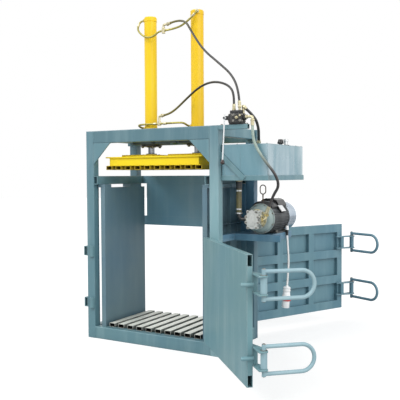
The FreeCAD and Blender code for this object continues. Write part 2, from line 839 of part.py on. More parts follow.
def motor_body():
    """Finned shell between round end shields, on two feet."""
    length = motor_rear - motor_front
    front = (motor_x, motor_front, motor_z)
    profile = [(0, 0), (flange_radius, 0), (flange_radius, 14), (motor_radius, 22), (motor_radius, length - 22),
               (fan_cover_radius - 2, length - 16), (fan_cover_radius - 2, length), (0, length)]
    body = turned(profile, front, (0, 1, 0))
    fins = []
    for number in range(fin_count):
        turn = 360.0 * (number + 0.5) / fin_count
        if 35 < turn < 145:
            continue
        fin = box((motor_x + motor_radius - 5, motor_x + motor_radius + fin_height),
                  (motor_front + 30, motor_rear - 30), span(motor_z, 4.0))
        fin.rotate(V(motor_x, 0, motor_z), Y, -turn)
        fins.append(fin)
    feet = []
    for side in (-1, 1):
        x = span(motor_x + side * foot_offset, foot_width)
        foot = box(x, (60, 290), (shelf_top, shelf_top + foot_thickness))
        web = box(span(motor_x + side * (foot_offset - 12.0), 14.0), (80, 270), (shelf_top, motor_z - 60.0))
        feet += [foot, web]
    motor = fuse([body] + fins + feet)
    for x, y in foot_bolt_places():
        motor = motor.cut(disc((x, y, shelf_top - 1), (0, 0, 1), bolt_hole, foot_thickness + 40.0))
        motor = motor.cut(disc((x, y, shelf_top + foot_thickness), (0, 0, 1), 15.0, bolt_head + 8.0))
    bore = disc((motor_x, motor_rear + 1, motor_z), (0, -1, 0), shaft_radius + running_clearance, 61.0)
    return motor.cut(bore)


def terminal_cover():
    """Curved box that sits on top of the motor."""
    outline = [(-92, 92), (92, 92), (100, 112), (74, 158), (40, 172), (-40, 172), (-74, 158), (-100, 112)]
    points = [(motor_x + x, 120.0, motor_z + z) for x, z in outline]
    cover = prism(points, (0, 170.0, 0))
    cover = cover.makeFillet(8.0, [edge for edge in along(cover, X) if edge.CenterOfMass.z > motor_z + 170])
    seat = disc((motor_x, 100.0, motor_z), (0, 1, 0), motor_radius, 220.0)
    return cover.cut(seat)


def fan_cover():
    """Pressed cap with a rounded back and a ring of radial slots."""
    front = motor_rear - 12.0
    length = fan_cover_rear - front
    inner = fan_cover_radius - 2.0
    profile = [(inner, 0), (fan_cover_radius, 0), (fan_cover_radius, length - 40), (fan_cover_radius - 8, length - 18),
               (fan_cover_radius - 28, length), (0, length), (0, length - 2), (inner - 27, length - 2),
               (inner - 8, length - 19), (inner, length - 40)]
    cover = turned(profile, (motor_x, front, motor_z), (0, 1, 0))
    for number in range(18):
        slot = box((motor_x + 38, motor_x + 96), (fan_cover_rear - 12, fan_cover_rear + 5), span(motor_z, 9.0))
        slot.rotate(V(motor_x, 0, motor_z), Y, 20.0 * number)
        cover = cover.cut(slot)
    return cover


def motor_fan():
    """Fan disc with straight blades on its shaft."""
    shaft = disc((motor_x, motor_rear - 55.0, motor_z), (0, 1, 0), shaft_radius, 125.0)
    hub = disc((motor_x, motor_rear + 20.0, motor_z), (0, 1, 0), 30.0, 50.0)
    plate = disc((motor_x, motor_rear + 20.0, motor_z), (0, 1, 0), 112.0, 4.0)
    pieces = [shaft, hub, plate]
    for number in range(8):
        blade = box((motor_x + 20, motor_x + 112), (motor_rear + 20, motor_rear + 66), span(motor_z, 4.0))
        blade.rotate(V(motor_x, 0, motor_z), Y, 45.0 * number)
        pieces.append(blade)
    return fuse(pieces)


def bell_housing():
    """Cast cone between pump and motor, hollow round the coupling."""
    front = pump_flange_rear
    length = motor_front - front
    profile = [(44, 0), (80, 0), (80, 14), (104, 40), (120, 78), (124, length - 12), (flange_radius, length - 12),
               (flange_radius, length), (112, length), (108, 82), (90, 44), (64, 18), (44, 14)]
    return turned(profile, (motor_x, front, motor_z), (0, 1, 0))


def pump_lobes():
    return [(sx * x, sz * z) for x, z in ((40.0, 68.0), (56.0, 24.0)) for sx in (-1, 1) for sz in (-1, 1)]


def gear_pump():
    """Two-gear pump: lobed covers, a waisted body and an outlet block at its right."""
    def oblong(radius, y, length):
        low = disc((motor_x, y, motor_z - 26), (0, 1, 0), radius, length)
        high = disc((motor_x, y, motor_z + 26), (0, 1, 0), radius, length)
        return [low, high, box(span(motor_x, 2 * radius), (y, y + length), span(motor_z, 52.0))]

    pieces = oblong(48.0, pump_front, pump_flange_front - pump_front)
    for y, length in ((pump_front, 24.0), (pump_front + 84.0, 20.0)):
        pieces += oblong(54.0, y, length)
        for x, z in pump_lobes():
            pieces.append(disc((motor_x + x, y, motor_z + z), (0, 1, 0), 14.0, length))
    pieces.append(disc((motor_x, pump_flange_front, motor_z), (0, 1, 0), 85.0, pump_flange_rear - pump_flange_front))
    pieces.append(box((motor_x, motor_x + 72), (pump_front + 28, pump_front + 84), span(motor_z, 88.0)))
    return fuse(pieces)


def lifting_loop():
    """Stem on the bell housing with a long ring at its top."""
    x, y, bottom, top = motor_x + 5, -17.5, motor_z + 118.0, motor_z + 296.0
    wire_radius, half_wide, height = 4.5, 27.0, 80.0
    low = top - height + half_wide
    high = top - half_wide
    ring = Part.Wire([
        Part.Arc(V(x - half_wide, y, low), V(x, y, low - half_wide), V(x + half_wide, y, low)).toShape(),
        Part.LineSegment(V(x + half_wide, y, low), V(x + half_wide, y, high)).toShape(),
        Part.Arc(V(x + half_wide, y, high), V(x, y, high + half_wide), V(x - half_wide, y, high)).toShape(),
        Part.LineSegment(V(x - half_wide, y, high), V(x - half_wide, y, low)).toShape()])
    circle = Part.makeCircle(wire_radius, V(x + half_wide, y, low), Z)
    ring = ring.makePipeShell([Part.Wire(circle)], True, False)
    stem = disc((x, y, bottom), (0, 0, 1), 6.0, low - half_wide - bottom)
    collar = disc((x, y, bottom), (0, 0, 1), 16.0, 20.0)
    return fuse([ring, stem, collar]).cut(bell_housing())


# ---- valve ----

def valve_arm():
    y = (-half_depth, -half_depth + arm_side)
    return tube((half_width, arm_right), y, (frame_height - arm_side, frame_height), X, 4.0, 4.0)


def valve_body():
    """Valve block on a foot plate, a spool cap at its right end and the lever's bracket at its left."""
    x = (valve_left, valve_right)
    y = span(valve_y, 76.0)
    foot = box((x[0] - 6, x[1] + 10), span(valve_y, 40.0), (frame_height, frame_height + 10))
    block = bar(x, y, (frame_height + 10, valve_top), X, 8.0)
    spool = disc((x[1], valve_y, spool_z), (1, 0, 0), 21.0, 22.0)
    cap = disc((x[0] - 22, valve_y, spool_z), (1, 0, 0), 19.0, 22.0)
    pivot_x, pivot_z = lever_pivot
    plate = box((pivot_x - 15, x[0] + 10), (lever_y + 12, lever_y + 20), span(pivot_z, 34.0))
    pin = disc((pivot_x, lever_y + 20, pivot_z), (0, -1, 0), 5.0, 34.0)
    head = disc((pivot_x, lever_y - 11, pivot_z), (0, -1, 0), 8.0, 3.0)
    return fuse([foot, block, spool, cap, plate, pin, head])


def control_lever():
    pivot_x, pivot_z = lever_pivot
    heading = direction((pivot_x, lever_y, pivot_z), (lever_end[0], lever_y, lever_end[1]))
    length = math.hypot(pivot_x - lever_end[0], pivot_z - lever_end[1])
    rod = disc((pivot_x, lever_y, pivot_z), heading, 6.0, length)
    hub = disc((pivot_x, lever_y + 8, pivot_z), (0, -1, 0), 13.0, 16.0)
    tail = disc((pivot_x, lever_y, pivot_z), tuple(V(*heading) * -1), 6.0, 32.0)
    bore = disc((pivot_x, lever_y + 20, pivot_z), (0, -1, 0), 5.0 + running_clearance, 40.0)
    return fuse([rod, hub, tail]).cut(bore)


def lever_knob():
    pivot = (lever_pivot[0], lever_y, lever_pivot[1])
    end = (lever_end[0], lever_y, lever_end[1])
    profile = [(0, 0), (9, 0), (12, 6), (18, 16), (19, 26), (15, 36), (7, 41), (0, 42)]
    return turned(profile, end, direction(pivot, end))


# ---- hoses, pipes and cord ----

def suction_hose():
    return disc((suction_x, suction_y, suction_bottom), (0, 0, 1), 24.0, suction_top - suction_bottom)


def cylinder_pipes():
    """Steel pipes from the two tees to the four cylinder ports."""
    left, right = cylinder_xs
    port = barrel_radius + 10.0
    z = lower_port_z
    tee_x, tee_y, tee_z = lower_tee
    low_left = [(left - port, cylinder_y, z), (left - port - 32, cylinder_y, z), (left - port - 32, tee_y, tee_z),
                (tee_x - tee_reach, tee_y, tee_z)]
    low_right = [(right - port, cylinder_y, z), (right - port - 34, cylinder_y, z), (right - port - 34, tee_y, tee_z),
                 (tee_x + tee_reach, tee_y, tee_z)]
    tee_x, tee_y, tee_z = upper_tee
    z = upper_port_z
    top_left = [upper_port(0, 73.0), upper_port(0, 112.0), (-390, 10, z - 85), (-320, -36, z - 150),
                (-225, tee_y, z - 192), (-150, tee_y, z - 192), (-102, tee_y, tee_z),
                (tee_x - tee_reach, tee_y, tee_z)]
    top_right = [upper_port(1, 73.0), upper_port(1, 106.0), (225, tee_y, z - 88), (110, tee_y, tee_z),
                 (tee_x + tee_reach, tee_y, tee_z)]
    return [pipe(low_left, 20.0), pipe(low_right, 20.0), pipe(top_left, 16.0), pipe(top_right, 16.0)]


def ferrule(point, heading, radius, length):
    """Crimped sleeve that ends at a hose's end, with a nut behind it. heading points to the hose."""
    sleeve = disc(step(point, heading, -length), heading, radius, length)
    back = step(point, heading, -length - nut_length)
    return [sleeve, hex_bar(back, heading, 2 * radius + 5.0, nut_length)], back


def riser(top, seat):
    """Upright adaptor with a ball joint on top and a hexagon on its seat."""
    foot = (top[0], top[1], seat)
    stem = disc(foot, (0, 0, 1), 11.0, top[2] - seat)
    return [stem, Part.makeSphere(13.0, V(*top)), hex_bar(foot, (0, 0, 1), 27.0, 14.0)]


def hydraulic_fittings():
    """Ferrules, adaptors, elbows, tees and clamps, grouped as joined pieces."""
    groups = []
    line_sleeve, pack_sleeve = line_radius + 3.0, pack_hose_radius + 3.0

    # tee behind the upper hose
    pieces, back = ferrule(upper_hose_route[0], direction(*upper_hose_route[:2]), line_sleeve, 36.0)
    top = (upper_tee[0], upper_tee[1], upper_tee[2] + 28)
    elbow = pipe([back, (upper_tee[0], upper_tee[1], upper_tee[2] + upper_elbow_rise), top], 16.0, 11.0)
    tee = hex_bar((upper_tee[0], upper_tee[1], upper_tee[2] - 26), (0, 0, 1), 32.0, 54.0)
    arms = disc((upper_tee[0] - tee_reach, upper_tee[1], upper_tee[2]), (1, 0, 0), 13.0, 2 * tee_reach)
    groups.append(fuse(pieces + [elbow, tee, arms]))

    # tee behind the lower hose
    pieces, back = ferrule(lower_hose_route[-1], direction(*lower_hose_route[:-3:-1]), line_sleeve, 22.0)
    top = (lower_tee[0], lower_tee[1], lower_tee[2] + 24)
    elbow = pipe([back, (lower_tee[0], lower_tee[1], lower_tee[2] + lower_elbow_rise), top], 16.0, 11.0)
    tee = hex_bar((lower_tee[0], lower_tee[1], lower_tee[2] - 20), (0, 0, 1), 32.0, 44.0)
    arms = disc((lower_tee[0] - tee_reach, lower_tee[1], lower_tee[2]), (1, 0, 0), 13.0, 2 * tee_reach)
    groups.append(fuse(pieces + [elbow, tee, arms]))

    # two ports on top of the valve
    for hose_route, ends in ((upper_hose_route, (-1, -2)), (lower_hose_route, (0, 1))):
        end = hose_route[ends[0]]
        pieces, back = ferrule(end, direction(end, hose_route[ends[1]]), line_sleeve, 40.0)
        groups.append(fuse(pieces + riser(back, valve_top)))

    # pressure line, from the valve's right side and down to the pump's outlet
    pieces, back = ferrule(pressure_hose_route[0], direction(*pressure_hose_route[:2]), pack_sleeve, 40.0)
    corner = (back[0], valve_y, frame_height + elbow_height)
    side = (valve_right + 22.0, valve_y, corner[2])
    pieces += [pipe([back, corner, side], 18.0, 11.0), hex_bar(side, (1, 0, 0), 30.0, 18.0)]
    groups.append(fuse(pieces))
    pieces, back = ferrule(pressure_hose_route[-1], direction(*pressure_hose_route[:-3:-1]), pack_sleeve, 60.0)
    outlet = (motor_x + 72.0, suction_y, motor_z)
    corner = (back[0], suction_y, motor_z)
    pieces += [pipe([back, corner, outlet], 24.0, 12.0), hex_bar(outlet, (1, 0, 0), 34.0, 16.0)]
    groups.append(fuse(pieces))

    # return line, from the valve's back into the tank's lid
    pieces, back = ferrule(return_hose_route[0], direction(*return_hose_route[:2]), pack_sleeve, 22.0)
    groups.append(fuse(pieces + riser(back, valve_top)))
    pieces, back = ferrule(return_hose_route[-1], direction(*return_hose_route[:-3:-1]), pack_sleeve, 14.0)
    groups.append(fuse(pieces + riser(back, tank_top)))

    # suction line, from under the tank to the pump's left side
    x, y = suction_x, suction_y
    flange = disc((x, y, tank_bottom), (0, 0, -1), 36.0, 12.0)
    nipple = disc((x, y, tank_bottom), (0, 0, -1), 26.0, tank_bottom - suction_top)
    groups.append(fuse([flange, nipple]))
    inlet = (motor_x - 48.0, y, motor_z)
    bend = pipe([(x, y, suction_bottom), (x, y, motor_z), inlet], 40.0, 17.0)
    clamp = disc((x, y, suction_bottom - 16), (0, 0, 1), 27.0, 16.0)
    groups.append(fuse([bend, clamp]))
    return groups


def cord_gland():
    """Screwed gland beside the motor, with the cord's way up into the motor."""
    x, y, z = cord_route[0]
    body = hex_bar((x, y, z), direction(cord_route[1], cord_route[0]), 24.0, 18.0)
    neck = pipe([(x, y, z + 16), (x, y, motor_z - 66), (x - 40, y, motor_z - 66)], 14.0)
    inside = disc((motor_x, motor_front, motor_z), (0, 1, 0), motor_radius + fin_height, motor_rear - motor_front)
    return fuse([body, neck]).cut(inside)


def power_plug():
    """Round plug that hangs from the cord, with a wide collar near its pins' shroud."""
    profile = [(0, 0), (13, 0), (17, 22), (30, 40), (33, 120), (43, 122), (43, 146), (35, 150), (35, 212), (29, 212),
               (29, 175), (0, 175)]
    return turned(profile, cord_route[-1], direction(cord_route[-2], cord_route[-1]))


parts = {
    "front_posts": front_posts(), "rear_posts": rear_posts(), "top_beams": top_beams(),
    "base_frame": base_frame(), "side_rails": side_rails(), "corner_gussets": corner_gussets(),
    "left_side_wall": side_wall(), "right_side_wall": right_wall(), "rear_upper_panel": rear_upper_panel(),
    "floor_slats": floor_slats(), "floor_bearers": floor_bearers(),
    "cylinder_beams": cylinder_beams(), "cylinder_barrels": cylinder_barrels(),
    "cylinder_caps": cylinder_caps(), "cylinder_glands": cylinder_glands(), "machine_bolts": machine_bolts(),
    "platen": platen(), "platen_channels": platen_channels(), "rod_flanges": rod_flanges(),
    "piston_rods": piston_rods(),
    "hinge_posts": hinge_posts(), "latch_keepers": latch_keepers(),
    "oil_tank": oil_tank(), "tank_lid": tank_lid(), "tank_cradle": tank_cradle(),
    "breather_cap": breather_cap(), "filler_cap": filler_cap(),
    "motor_shelf": motor_shelf(), "motor_body": motor_body(), "terminal_cover": terminal_cover(),
    "fan_cover": fan_cover(), "motor_fan": motor_fan(), "bell_housing": bell_housing(),
    "gear_pump": gear_pump(), "lifting_loop": lifting_loop(),
    "valve_arm": valve_arm(), "valve_body": valve_body(), "control_lever": control_lever(),
    "lever_knob": lever_knob(),
    "cylinder_pipes": cylinder_pipes(), "hydraulic_fittings": hydraulic_fittings(),
    "suction_hose": suction_hose(),
    "upper_hose": hose("upper_hose", upper_hose_route, line_radius),
    "lower_hose": hose("lower_hose", lower_hose_route, line_radius),
    "pressure_hose": hose("pressure_hose", pressure_hose_route, pack_hose_radius),
    "return_hose": hose("return_hose", return_hose_route, pack_hose_radius),
    "power_cord": hose("power_cord", cord_route, cord_radius),
    "cord_gland": cord_gland(), "power_plug": power_plug(),
}
for side in ("front", "rear"):
    parts[f"{side}_door_frame"] = hang(door_frame(), side)
    parts[f"{side}_door_sheet"] = hang(door_skin(), side)
    parts[f"{side}_door_fittings"] = hang(door_fittings(), side)
    for level, z in zip(("upper", "lower"), latch_heights):
        parts[f"{side}_{level}_handle"] = hang(latch_handle(z), side)

os.makedirs("parts", exist_ok=True)
for name, shape in parts.items():
    solid = Part.makeCompound(shape) if isinstance(shape, list) else shape
    solid.exportStep(f"parts/{name}.step")
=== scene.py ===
import math
import bmesh
import bpy
from mathutils import Matrix, Vector


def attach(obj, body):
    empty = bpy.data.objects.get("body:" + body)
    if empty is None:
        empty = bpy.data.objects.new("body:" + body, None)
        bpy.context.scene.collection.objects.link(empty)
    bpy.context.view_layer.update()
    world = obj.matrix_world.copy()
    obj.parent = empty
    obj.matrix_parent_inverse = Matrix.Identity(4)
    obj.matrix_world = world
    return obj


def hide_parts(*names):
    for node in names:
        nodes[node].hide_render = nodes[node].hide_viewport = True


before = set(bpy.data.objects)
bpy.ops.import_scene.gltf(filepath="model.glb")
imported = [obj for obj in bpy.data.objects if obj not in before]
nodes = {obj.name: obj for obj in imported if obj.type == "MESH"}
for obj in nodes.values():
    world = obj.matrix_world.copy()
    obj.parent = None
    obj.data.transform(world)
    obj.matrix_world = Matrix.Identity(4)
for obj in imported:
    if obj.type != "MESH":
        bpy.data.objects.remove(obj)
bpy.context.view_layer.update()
scene = bpy.context.scene
print("frame loaded:", len(nodes), "nodes")


# camera

view = {"place": (3.3919, -5.2627, 1.575), "azimuth": 30.3125, "down": 2.201, "roll": -0.2745, "lens": 58.366,
        "sensor": 36.0}


def link(name, data):  # a new object in the scene
    made = bpy.data.objects.new(name, data)
    scene.collection.objects.link(made)
    return made


def placeCamera():
    turn, down, roll = (math.radians(view[key]) for key in ("azimuth", "down", "roll"))
    ahead = Vector((-math.sin(turn) * math.cos(down), math.cos(turn) * math.cos(down), -math.sin(down)))
    level = Vector((math.cos(turn), math.sin(turn), 0))
    upward = level.cross(ahead)
    right = math.cos(roll) * level + math.sin(roll) * upward
    top = math.cos(roll) * upward - math.sin(roll) * level
    data = bpy.data.cameras.new("camera")
    data.lens = view["lens"]
    data.sensor_width = view["sensor"]
    camera = link("camera", data)
    camera.rotation_euler = Matrix((right, top, -ahead)).transposed().to_euler()
    camera.location = view["place"]
    scene.camera = camera


placeCamera()


# finishes

class Wire:  # one output socket, open to plain sums
    def __init__(self, finish, socket):
        self.finish = finish
        self.socket = socket

    def maths(self, operation, first, second, clamp=False):
        return self.finish.node("ShaderNodeMath", {0: first, 1: second}, operation=operation, use_clamp=clamp)

    def held(self):  # kept between 0 and 1
        return self.maths("ADD", self, 0.0, clamp=True)


for method, operation in (("add", "ADD"), ("sub", "SUBTRACT"), ("mul", "MULTIPLY"), ("pow", "POWER")):
    setattr(Wire, f"__{method}__", lambda self, other, kind=operation: self.maths(kind, self, other))
    setattr(Wire, f"__r{method}__", lambda self, other, kind=operation: self.maths(kind, other, self))


class Finish:  # the shader of a material or of the world
    def __init__(self, owner):
        if isinstance(owner, str):
            owner = bpy.data.materials.new(owner)
        owner.use_nodes = True
        self.owner = owner
        self.tree = owner.node_tree
        self.tree.nodes.clear()

    def node(self, kind, sockets=None, out=0, **settings):
        made = self.tree.nodes.new(kind)
        for key, value in settings.items():
            setattr(made, key, value)
        for key, value in (sockets or {}).items():
            if isinstance(value, Wire):
                self.tree.links.new(value.socket, made.inputs[key])
            else:
                made.inputs[key].default_value = value
        return Wire(self, made.outputs[out])

    def where(self, stretch=(1, 1, 1)):
        place = self.node("ShaderNodeTexCoord", out="Object")
        return self.node("ShaderNodeMapping", {"Vector": place, "Scale": stretch})

    def place(self, axis):  # metres along X, Y or Z, as 0, 1 or 2
        return self.node("ShaderNodeSeparateXYZ", {0: self.where()}, out=axis)

    def past(self, axis, level, slope):  # from 0 at the level up to 1, downwards with a slope below 0
        return ((self.place(axis) - level) * slope).held()

    def noise(self, scale, detail=3.0, roughness=0.5, stretch=(1, 1, 1)):
        sockets = {"Vector": self.where(stretch), "Scale": scale, "Detail": detail, "Roughness": roughness}
        return self.node("ShaderNodeTexNoise", sockets)

    def patches(self, low, high, *noise, **more):  # noise as 0 up to low and 1 from high on
        made = self.node("ShaderNodeValToRGB", {0: self.noise(*noise, **more)})
        ends = made.socket.node.color_ramp.elements
        ends[0].position, ends[1].position = low, high
        return made

    def mix(self, share, first, second):  # of wires or screen colours
        pair = [tone(shade) if isinstance(shade, str) else shade for shade in (first, second)]
        return self.node("ShaderNodeMix", {0: share, 6: pair[0], 7: pair[1]}, out=2, data_type="RGBA")

    def layers(self, colour, *laid):  # each a share and the colour that it lays over the ones before
        for share, shade in laid:
            colour = self.mix(share, colour, shade)
        return colour

    def edges(self, radius, gain):  # 1 along outer and inner edges
        soft = self.node("ShaderNodeBevel", {"Radius": radius}, samples=6)
        flat = self.node("ShaderNodeNewGeometry", out="Normal")
        same = self.node("ShaderNodeVectorMath", {0: soft, 1: flat}, "Value", operation="DOT_PRODUCT")
        return soft, ((1 - same) * gain).held()

    def hollows(self, reach):  # 1 deep in corners, the mask of painted shade in corners and recesses
        clear = self.node("ShaderNodeAmbientOcclusion", {"Distance": reach}, "AO",
                          samples=6, only_local=False)
        return (1 - clear).held()

    def done(self, colour, rough, height, bumps, normal, **sockets):  # bumps are strength and distance
        sockets = {key.replace("_", " "): value for key, value in sockets.items()}
        sockets.update({"Base Color": colour, "Roughness": rough})
        lift = {"Height": height, "Strength": bumps[0], "Distance": bumps[1], "Normal": normal}
        sockets["Normal"] = self.node("ShaderNodeBump", lift)
        return self.output(self.node("ShaderNodeBsdfPrincipled", sockets))

    def output(self, shader, kind="ShaderNodeOutputMaterial"):
        self.tree.links.new(shader.socket, self.tree.nodes.new(kind).inputs["Surface"])
        return self.owner


def tone(screen):  # a screen colour in hexadecimal, as light
    parts = [int(screen[n:n + 2], 16) / 255 for n in (0, 2, 4)]
    return (*(part / 12.92 if part <= 0.04045 else ((part + 0.055) / 1.055) ** 2.4 for part in parts), 1)


paintLook = {  # main, cloud, edge and dust-and-shade screen colours, then what differs from the usual paint
    "framePaint": ["668d95", "608898", "c4dcde", "3a4e56"],
    # the front posts: a painted highlight, paler towards the right below the top beam and pale along wider
    # edges
    "postPaint": ["628993", "5e8696", "e2f0f2", "3a4e56",
                  {"gloss": 0.34, "right": "84aab1", "rim": 0.008, "band": (1.86, -2.2)}],
    "beamPaint": ["5a7f88", "547a8a", "b8d2d6", "2e4048"],
    # the rear posts, motor shelf and wall strips: a darker copy of the frame paint as painted shade, bluer
    # towards the right above the band's height
    "rearPaint": ["567884", "4e7082", "b0cedc", "283844",
                  {"gloss": 0.32, "right": "5884a0", "band": (0.88, 5.0)}],
    # the cylinder beams: a darker copy of the frame paint, as painted shade under the top beams
    "shadePaint": ["3e4e54", "34464e", "82949a", "1c2226", {"gloss": 0.5, "coat": 0.0}],
    "panelPaint": ["6e9aac", "5a8aa4", "aac6ce", "384c58", {"gloss": 0.34}],
    "doorPaint": ["749ca1", "6894a2", "d8eaec", "42565c", {"gloss": 0.34, "rim": 0.007}],
    "rearDoorPaint": ["648c99", "588298", "b2ced4", "30424c"],
    "wallPaint": ["6a8690", "547a92", "96b0b8", "3a484e", {"gloss": 0.4}],
    "handlePaint": ["96b6be", "8aacba", "cddee1", "607076", {"gloss": 0.32}],
    "rearHandlePaint": ["628898", "547c90", "b2ccd6", "3c4e58", {"gloss": 0.34}],
    # the cylinders, caps and rod flanges: deeper yellow towards the right, as painted shade
    "yellowPaint": ["ffdb02", "ffce00", "ffe834", "b08004",
                    {"coat": 0.06, "right": "f2b800", "band": (0.0, 1.0)}],
    "platenPaint": ["ffe200", "ffda00", "ffee3c", "785a02", {"gloss": 0.44, "coat": 0.0}],
    # the slats: near-black painted shade deep in the gaps between them
    "slatPaint": ["eef0e6", "e0e4da", "f8f8f2", "0e100e",
                  {"gloss": 0.4, "coat": 0.06, "deep": 2.4, "reach": 0.09}],
    # the tank: sheen is the colour of a painted reflection on its right side
    "tankPaint": ["709aa6", "6896aa", "c8dee4", "3c505a", {"gloss": 0.22, "coat": 0.2, "sheen": "e2eef4"}],
    # the channels: near-black painted shade deep in the tube mouths
    "channelPaint": ["ceac1e", "968024", "ecd046", "0a0906",
                     {"gloss": 0.5, "coat": 0.0, "deep": 1.4, "reach": 0.05}],
}

# deep and reach: strength and reach of the painted shade in corners; rim: width of the worn, highlighted
# edges
paintUsual = {"gloss": 0.36, "coat": 0.12, "deep": 0.42, "reach": 0.07, "rim": 0.005}


def paint(name, main, cloud, edge, dustAndShade, more=None):
    finish = Finish(name)
    look = {**paintUsual, **(more or {})}
    clouds = finish.patches(0.38, 0.66, 1.7, 4.0, 0.55)
    streaks = finish.patches(0.45, 0.75, 9.0, 5.0, 0.6, stretch=(1, 1, 0.12))
    grain = finish.noise(240.0, 2.0)
    orangePeel = finish.noise(95.0, 2.0)
    scuffs = finish.patches(0.6, 0.72, 38.0, 6.0, 0.7)
    soft, rim = finish.edges(look["rim"], 3.2)
    # worn edges, and a painted highlight along the edges, in the edge colour
    edgeWearAndHighlight = (rim * (0.45 + 0.55 * scuffs)).held()
    # painted shade: the dust-and-shade colour is laid deep in corners, recesses and gaps
    cornerShade = finish.hollows(look["reach"])
    colour = finish.mix(0.55 * clouds, main, cloud)
    if "right" in look:  # painted light towards the right, within a band of heights: a paler painted highlight on the front posts, bluer painted shade on the rear ones, deeper painted shade on the yellow parts
        colour = finish.mix(finish.past(0, 0.1, 2.2) * finish.past(2, *look["band"]), colour, look["right"])
    if "sheen" in look:  # painted reflection: pale patches of sheen on the right side
        paintedReflection = finish.patches(0.44, 0.66, 3.0, 3.0, 0.5, stretch=(1, 1.4, 0.4))
        colour = finish.mix(0.5 * paintedReflection * finish.past(0, 1.1, 15.0), colour, look["sheen"])
    # streaks, painted shade deep in corners, dust in scuffs, then worn edges with a painted highlight
    colour = finish.layers(colour, (0.16 * streaks, edge), ((look["deep"] * (cornerShade ** 1.4)).held(), dustAndShade),
                           (0.05 * scuffs, dustAndShade), (0.8 * edgeWearAndHighlight, edge))
    rough = look["gloss"] + 0.12 * clouds + 0.14 * scuffs + 0.1 * cornerShade
    return finish.done(colour, rough, orangePeel * 0.7 + grain * 0.3, (0.12, 0.0012), soft,
                       Coat_Weight=look["coat"], Coat_Roughness=0.22)


metalLook = {  # main and shade colours, roughness, share of metal, stretch of the brushing
    "chromedRod": ["a4a8ac", "686c72", 0.12, 1.0, (60, 60, 900)],
    "platedFittings": ["ded6b2", "b2a884", 0.26, 0.75, (300, 300, 300)],
    "boltSteel": ["96948c", "605c54", 0.34, 0.9, (280, 280, 280)],
    "darkPipe": ["beb45c", "605a30", 0.28, 0.3, (200, 200, 60)],
    "fanCoverSteel": ["c4d0dc", "8c9eb0", 0.16, 0.92, (90, 900, 90)],
    "pumpAlloy": ["e2e4e0", "a0a29e", 0.34, 0.75, (160, 160, 160)],
    "brassParts": ["d8c684", "968246", 0.25, 0.8, (240, 240, 240)],
    "tanAlloy": ["d6cea8", "a89e70", 0.36, 0.5, (160, 160, 160)],
    "loopSteel": ["5c462e", "3a2c1e", 0.4, 0.6, (240, 240, 240)],
    "leverRod": ["f0f3f4", "d8dee2", 0.26, 0.15, (90, 90, 500)],
    "platedSilver": ["e2e4e4", "b0b4b6", 0.26, 0.8, (240, 240, 240)],
    "glandSteel": ["5c5e5c", "282a2a", 0.24, 0.85, (200, 200, 200)],
}

# cornerShade: the tint of painted shade in corners; rim: worn edges with a painted highlight; black: the
# suction bend's own colour
metalTints = {"cornerShade": "282622", "rim": "ecece6", "black": "323434"}


def metal(name, main, shade, rough, bare, grain):
    finish = Finish(name)
    clouds = finish.patches(0.35, 0.7, 14.0, 4.0, 0.6)
    brushed = finish.noise(1.0, 2.0, 0.6, stretch=grain)
    spots = finish.patches(0.58, 0.7, 70.0, 5.0, 0.7)
    soft, rim = finish.edges(0.0022, 3.0)
    cornerShade = finish.hollows(0.025)
    # painted shade deep in corners, then a near-white painted highlight along worn edges
    colour = finish.layers(main, (0.6 * clouds, shade), (0.3 * spots, shade),
                           (0.4 * cornerShade, metalTints["cornerShade"]), (0.6 * rim, metalTints["rim"]))
    rough = rough + 0.1 * clouds + 0.12 * spots + 0.15 * cornerShade
    if name == "platedFittings":  # the suction line's bend and nipple are black
        black = finish.past(0, 0.9, -200.0) * finish.past(2, 1.52, -200.0)
        colour = finish.mix(black, colour, metalTints["black"])
        bare = bare * (1 - black)
    return finish.done(colour, rough, brushed, (0.1, 0.0006), soft, Metallic=bare)


castLook = {  # main, shade and edge colours, roughness, depth of the pits; the edge colour marks worn edges and painted glints
    "motorIron": ["464c4f", "282d30", "6c7276", 0.3, 0.35],
    "bellCasting": ["b2c0bc", "7e9698", "cedad8", 0.32, 0.3],
    "valveIron": ["323333", "1e1f20", "8c8e8c", 0.36, 0.4],
}


def casting(name, main, shade, edge, rough, pits):
    finish = Finish(name)
    sand = finish.noise(420.0, 3.0, 0.65)
    lumps = finish.noise(26.0, 4.0, 0.55)
    clouds = finish.patches(0.36, 0.68, 9.0, 4.0, 0.55)
    soft, rim = finish.edges(0.003, 3.0)
    cornerShade = finish.hollows(0.03)
    # painted shade deep in corners, then worn edges with painted glints
    colour = finish.layers(main, (0.7 * clouds, shade), (0.5 * cornerShade, "1a1c1e"), (0.65 * rim, edge))
    rough = rough + 0.14 * clouds + 0.12 * cornerShade
    return finish.done(colour, rough, sand * 0.6 + lumps * 0.8, (pits, 0.0012), soft)


plasticLook = {  # main, shade and scuff colours, roughness, coat, then the other colour of a hose's far end
    "hoseRubber": ["282828", "18181a", "78766c", 0.3, 0.35,
                   {"tint": "7c743a", "axis": 0, "level": 0.32, "blend": -4.0}],
    "paleHose": ["a8baae", "889c92", "545c5c", 0.3, 0.35,
                 {"tint": "464242", "axis": 2, "level": 1.78, "blend": -6.0}],
    "suctionRubber": ["706a44", "42422e", "a49e7a", 0.36, 0.2],
    "cordSheath": ["fcfcfa", "f0f0ee", "d6d4ce", 0.42, 0.1],
    "blackPlastic": ["1e1f21", "141517", "606060", 0.28, 0.3],
    "knobPlastic": ["341e1a", "221412", "745a52", 0.22, 0.5],
    "barePlate": ["fafbfb", "eef1f3", "ced2d4", 0.34, 0.2],
    "redCollar": ["d6322c", "be2824", "e88278", 0.36, 0.2],
}


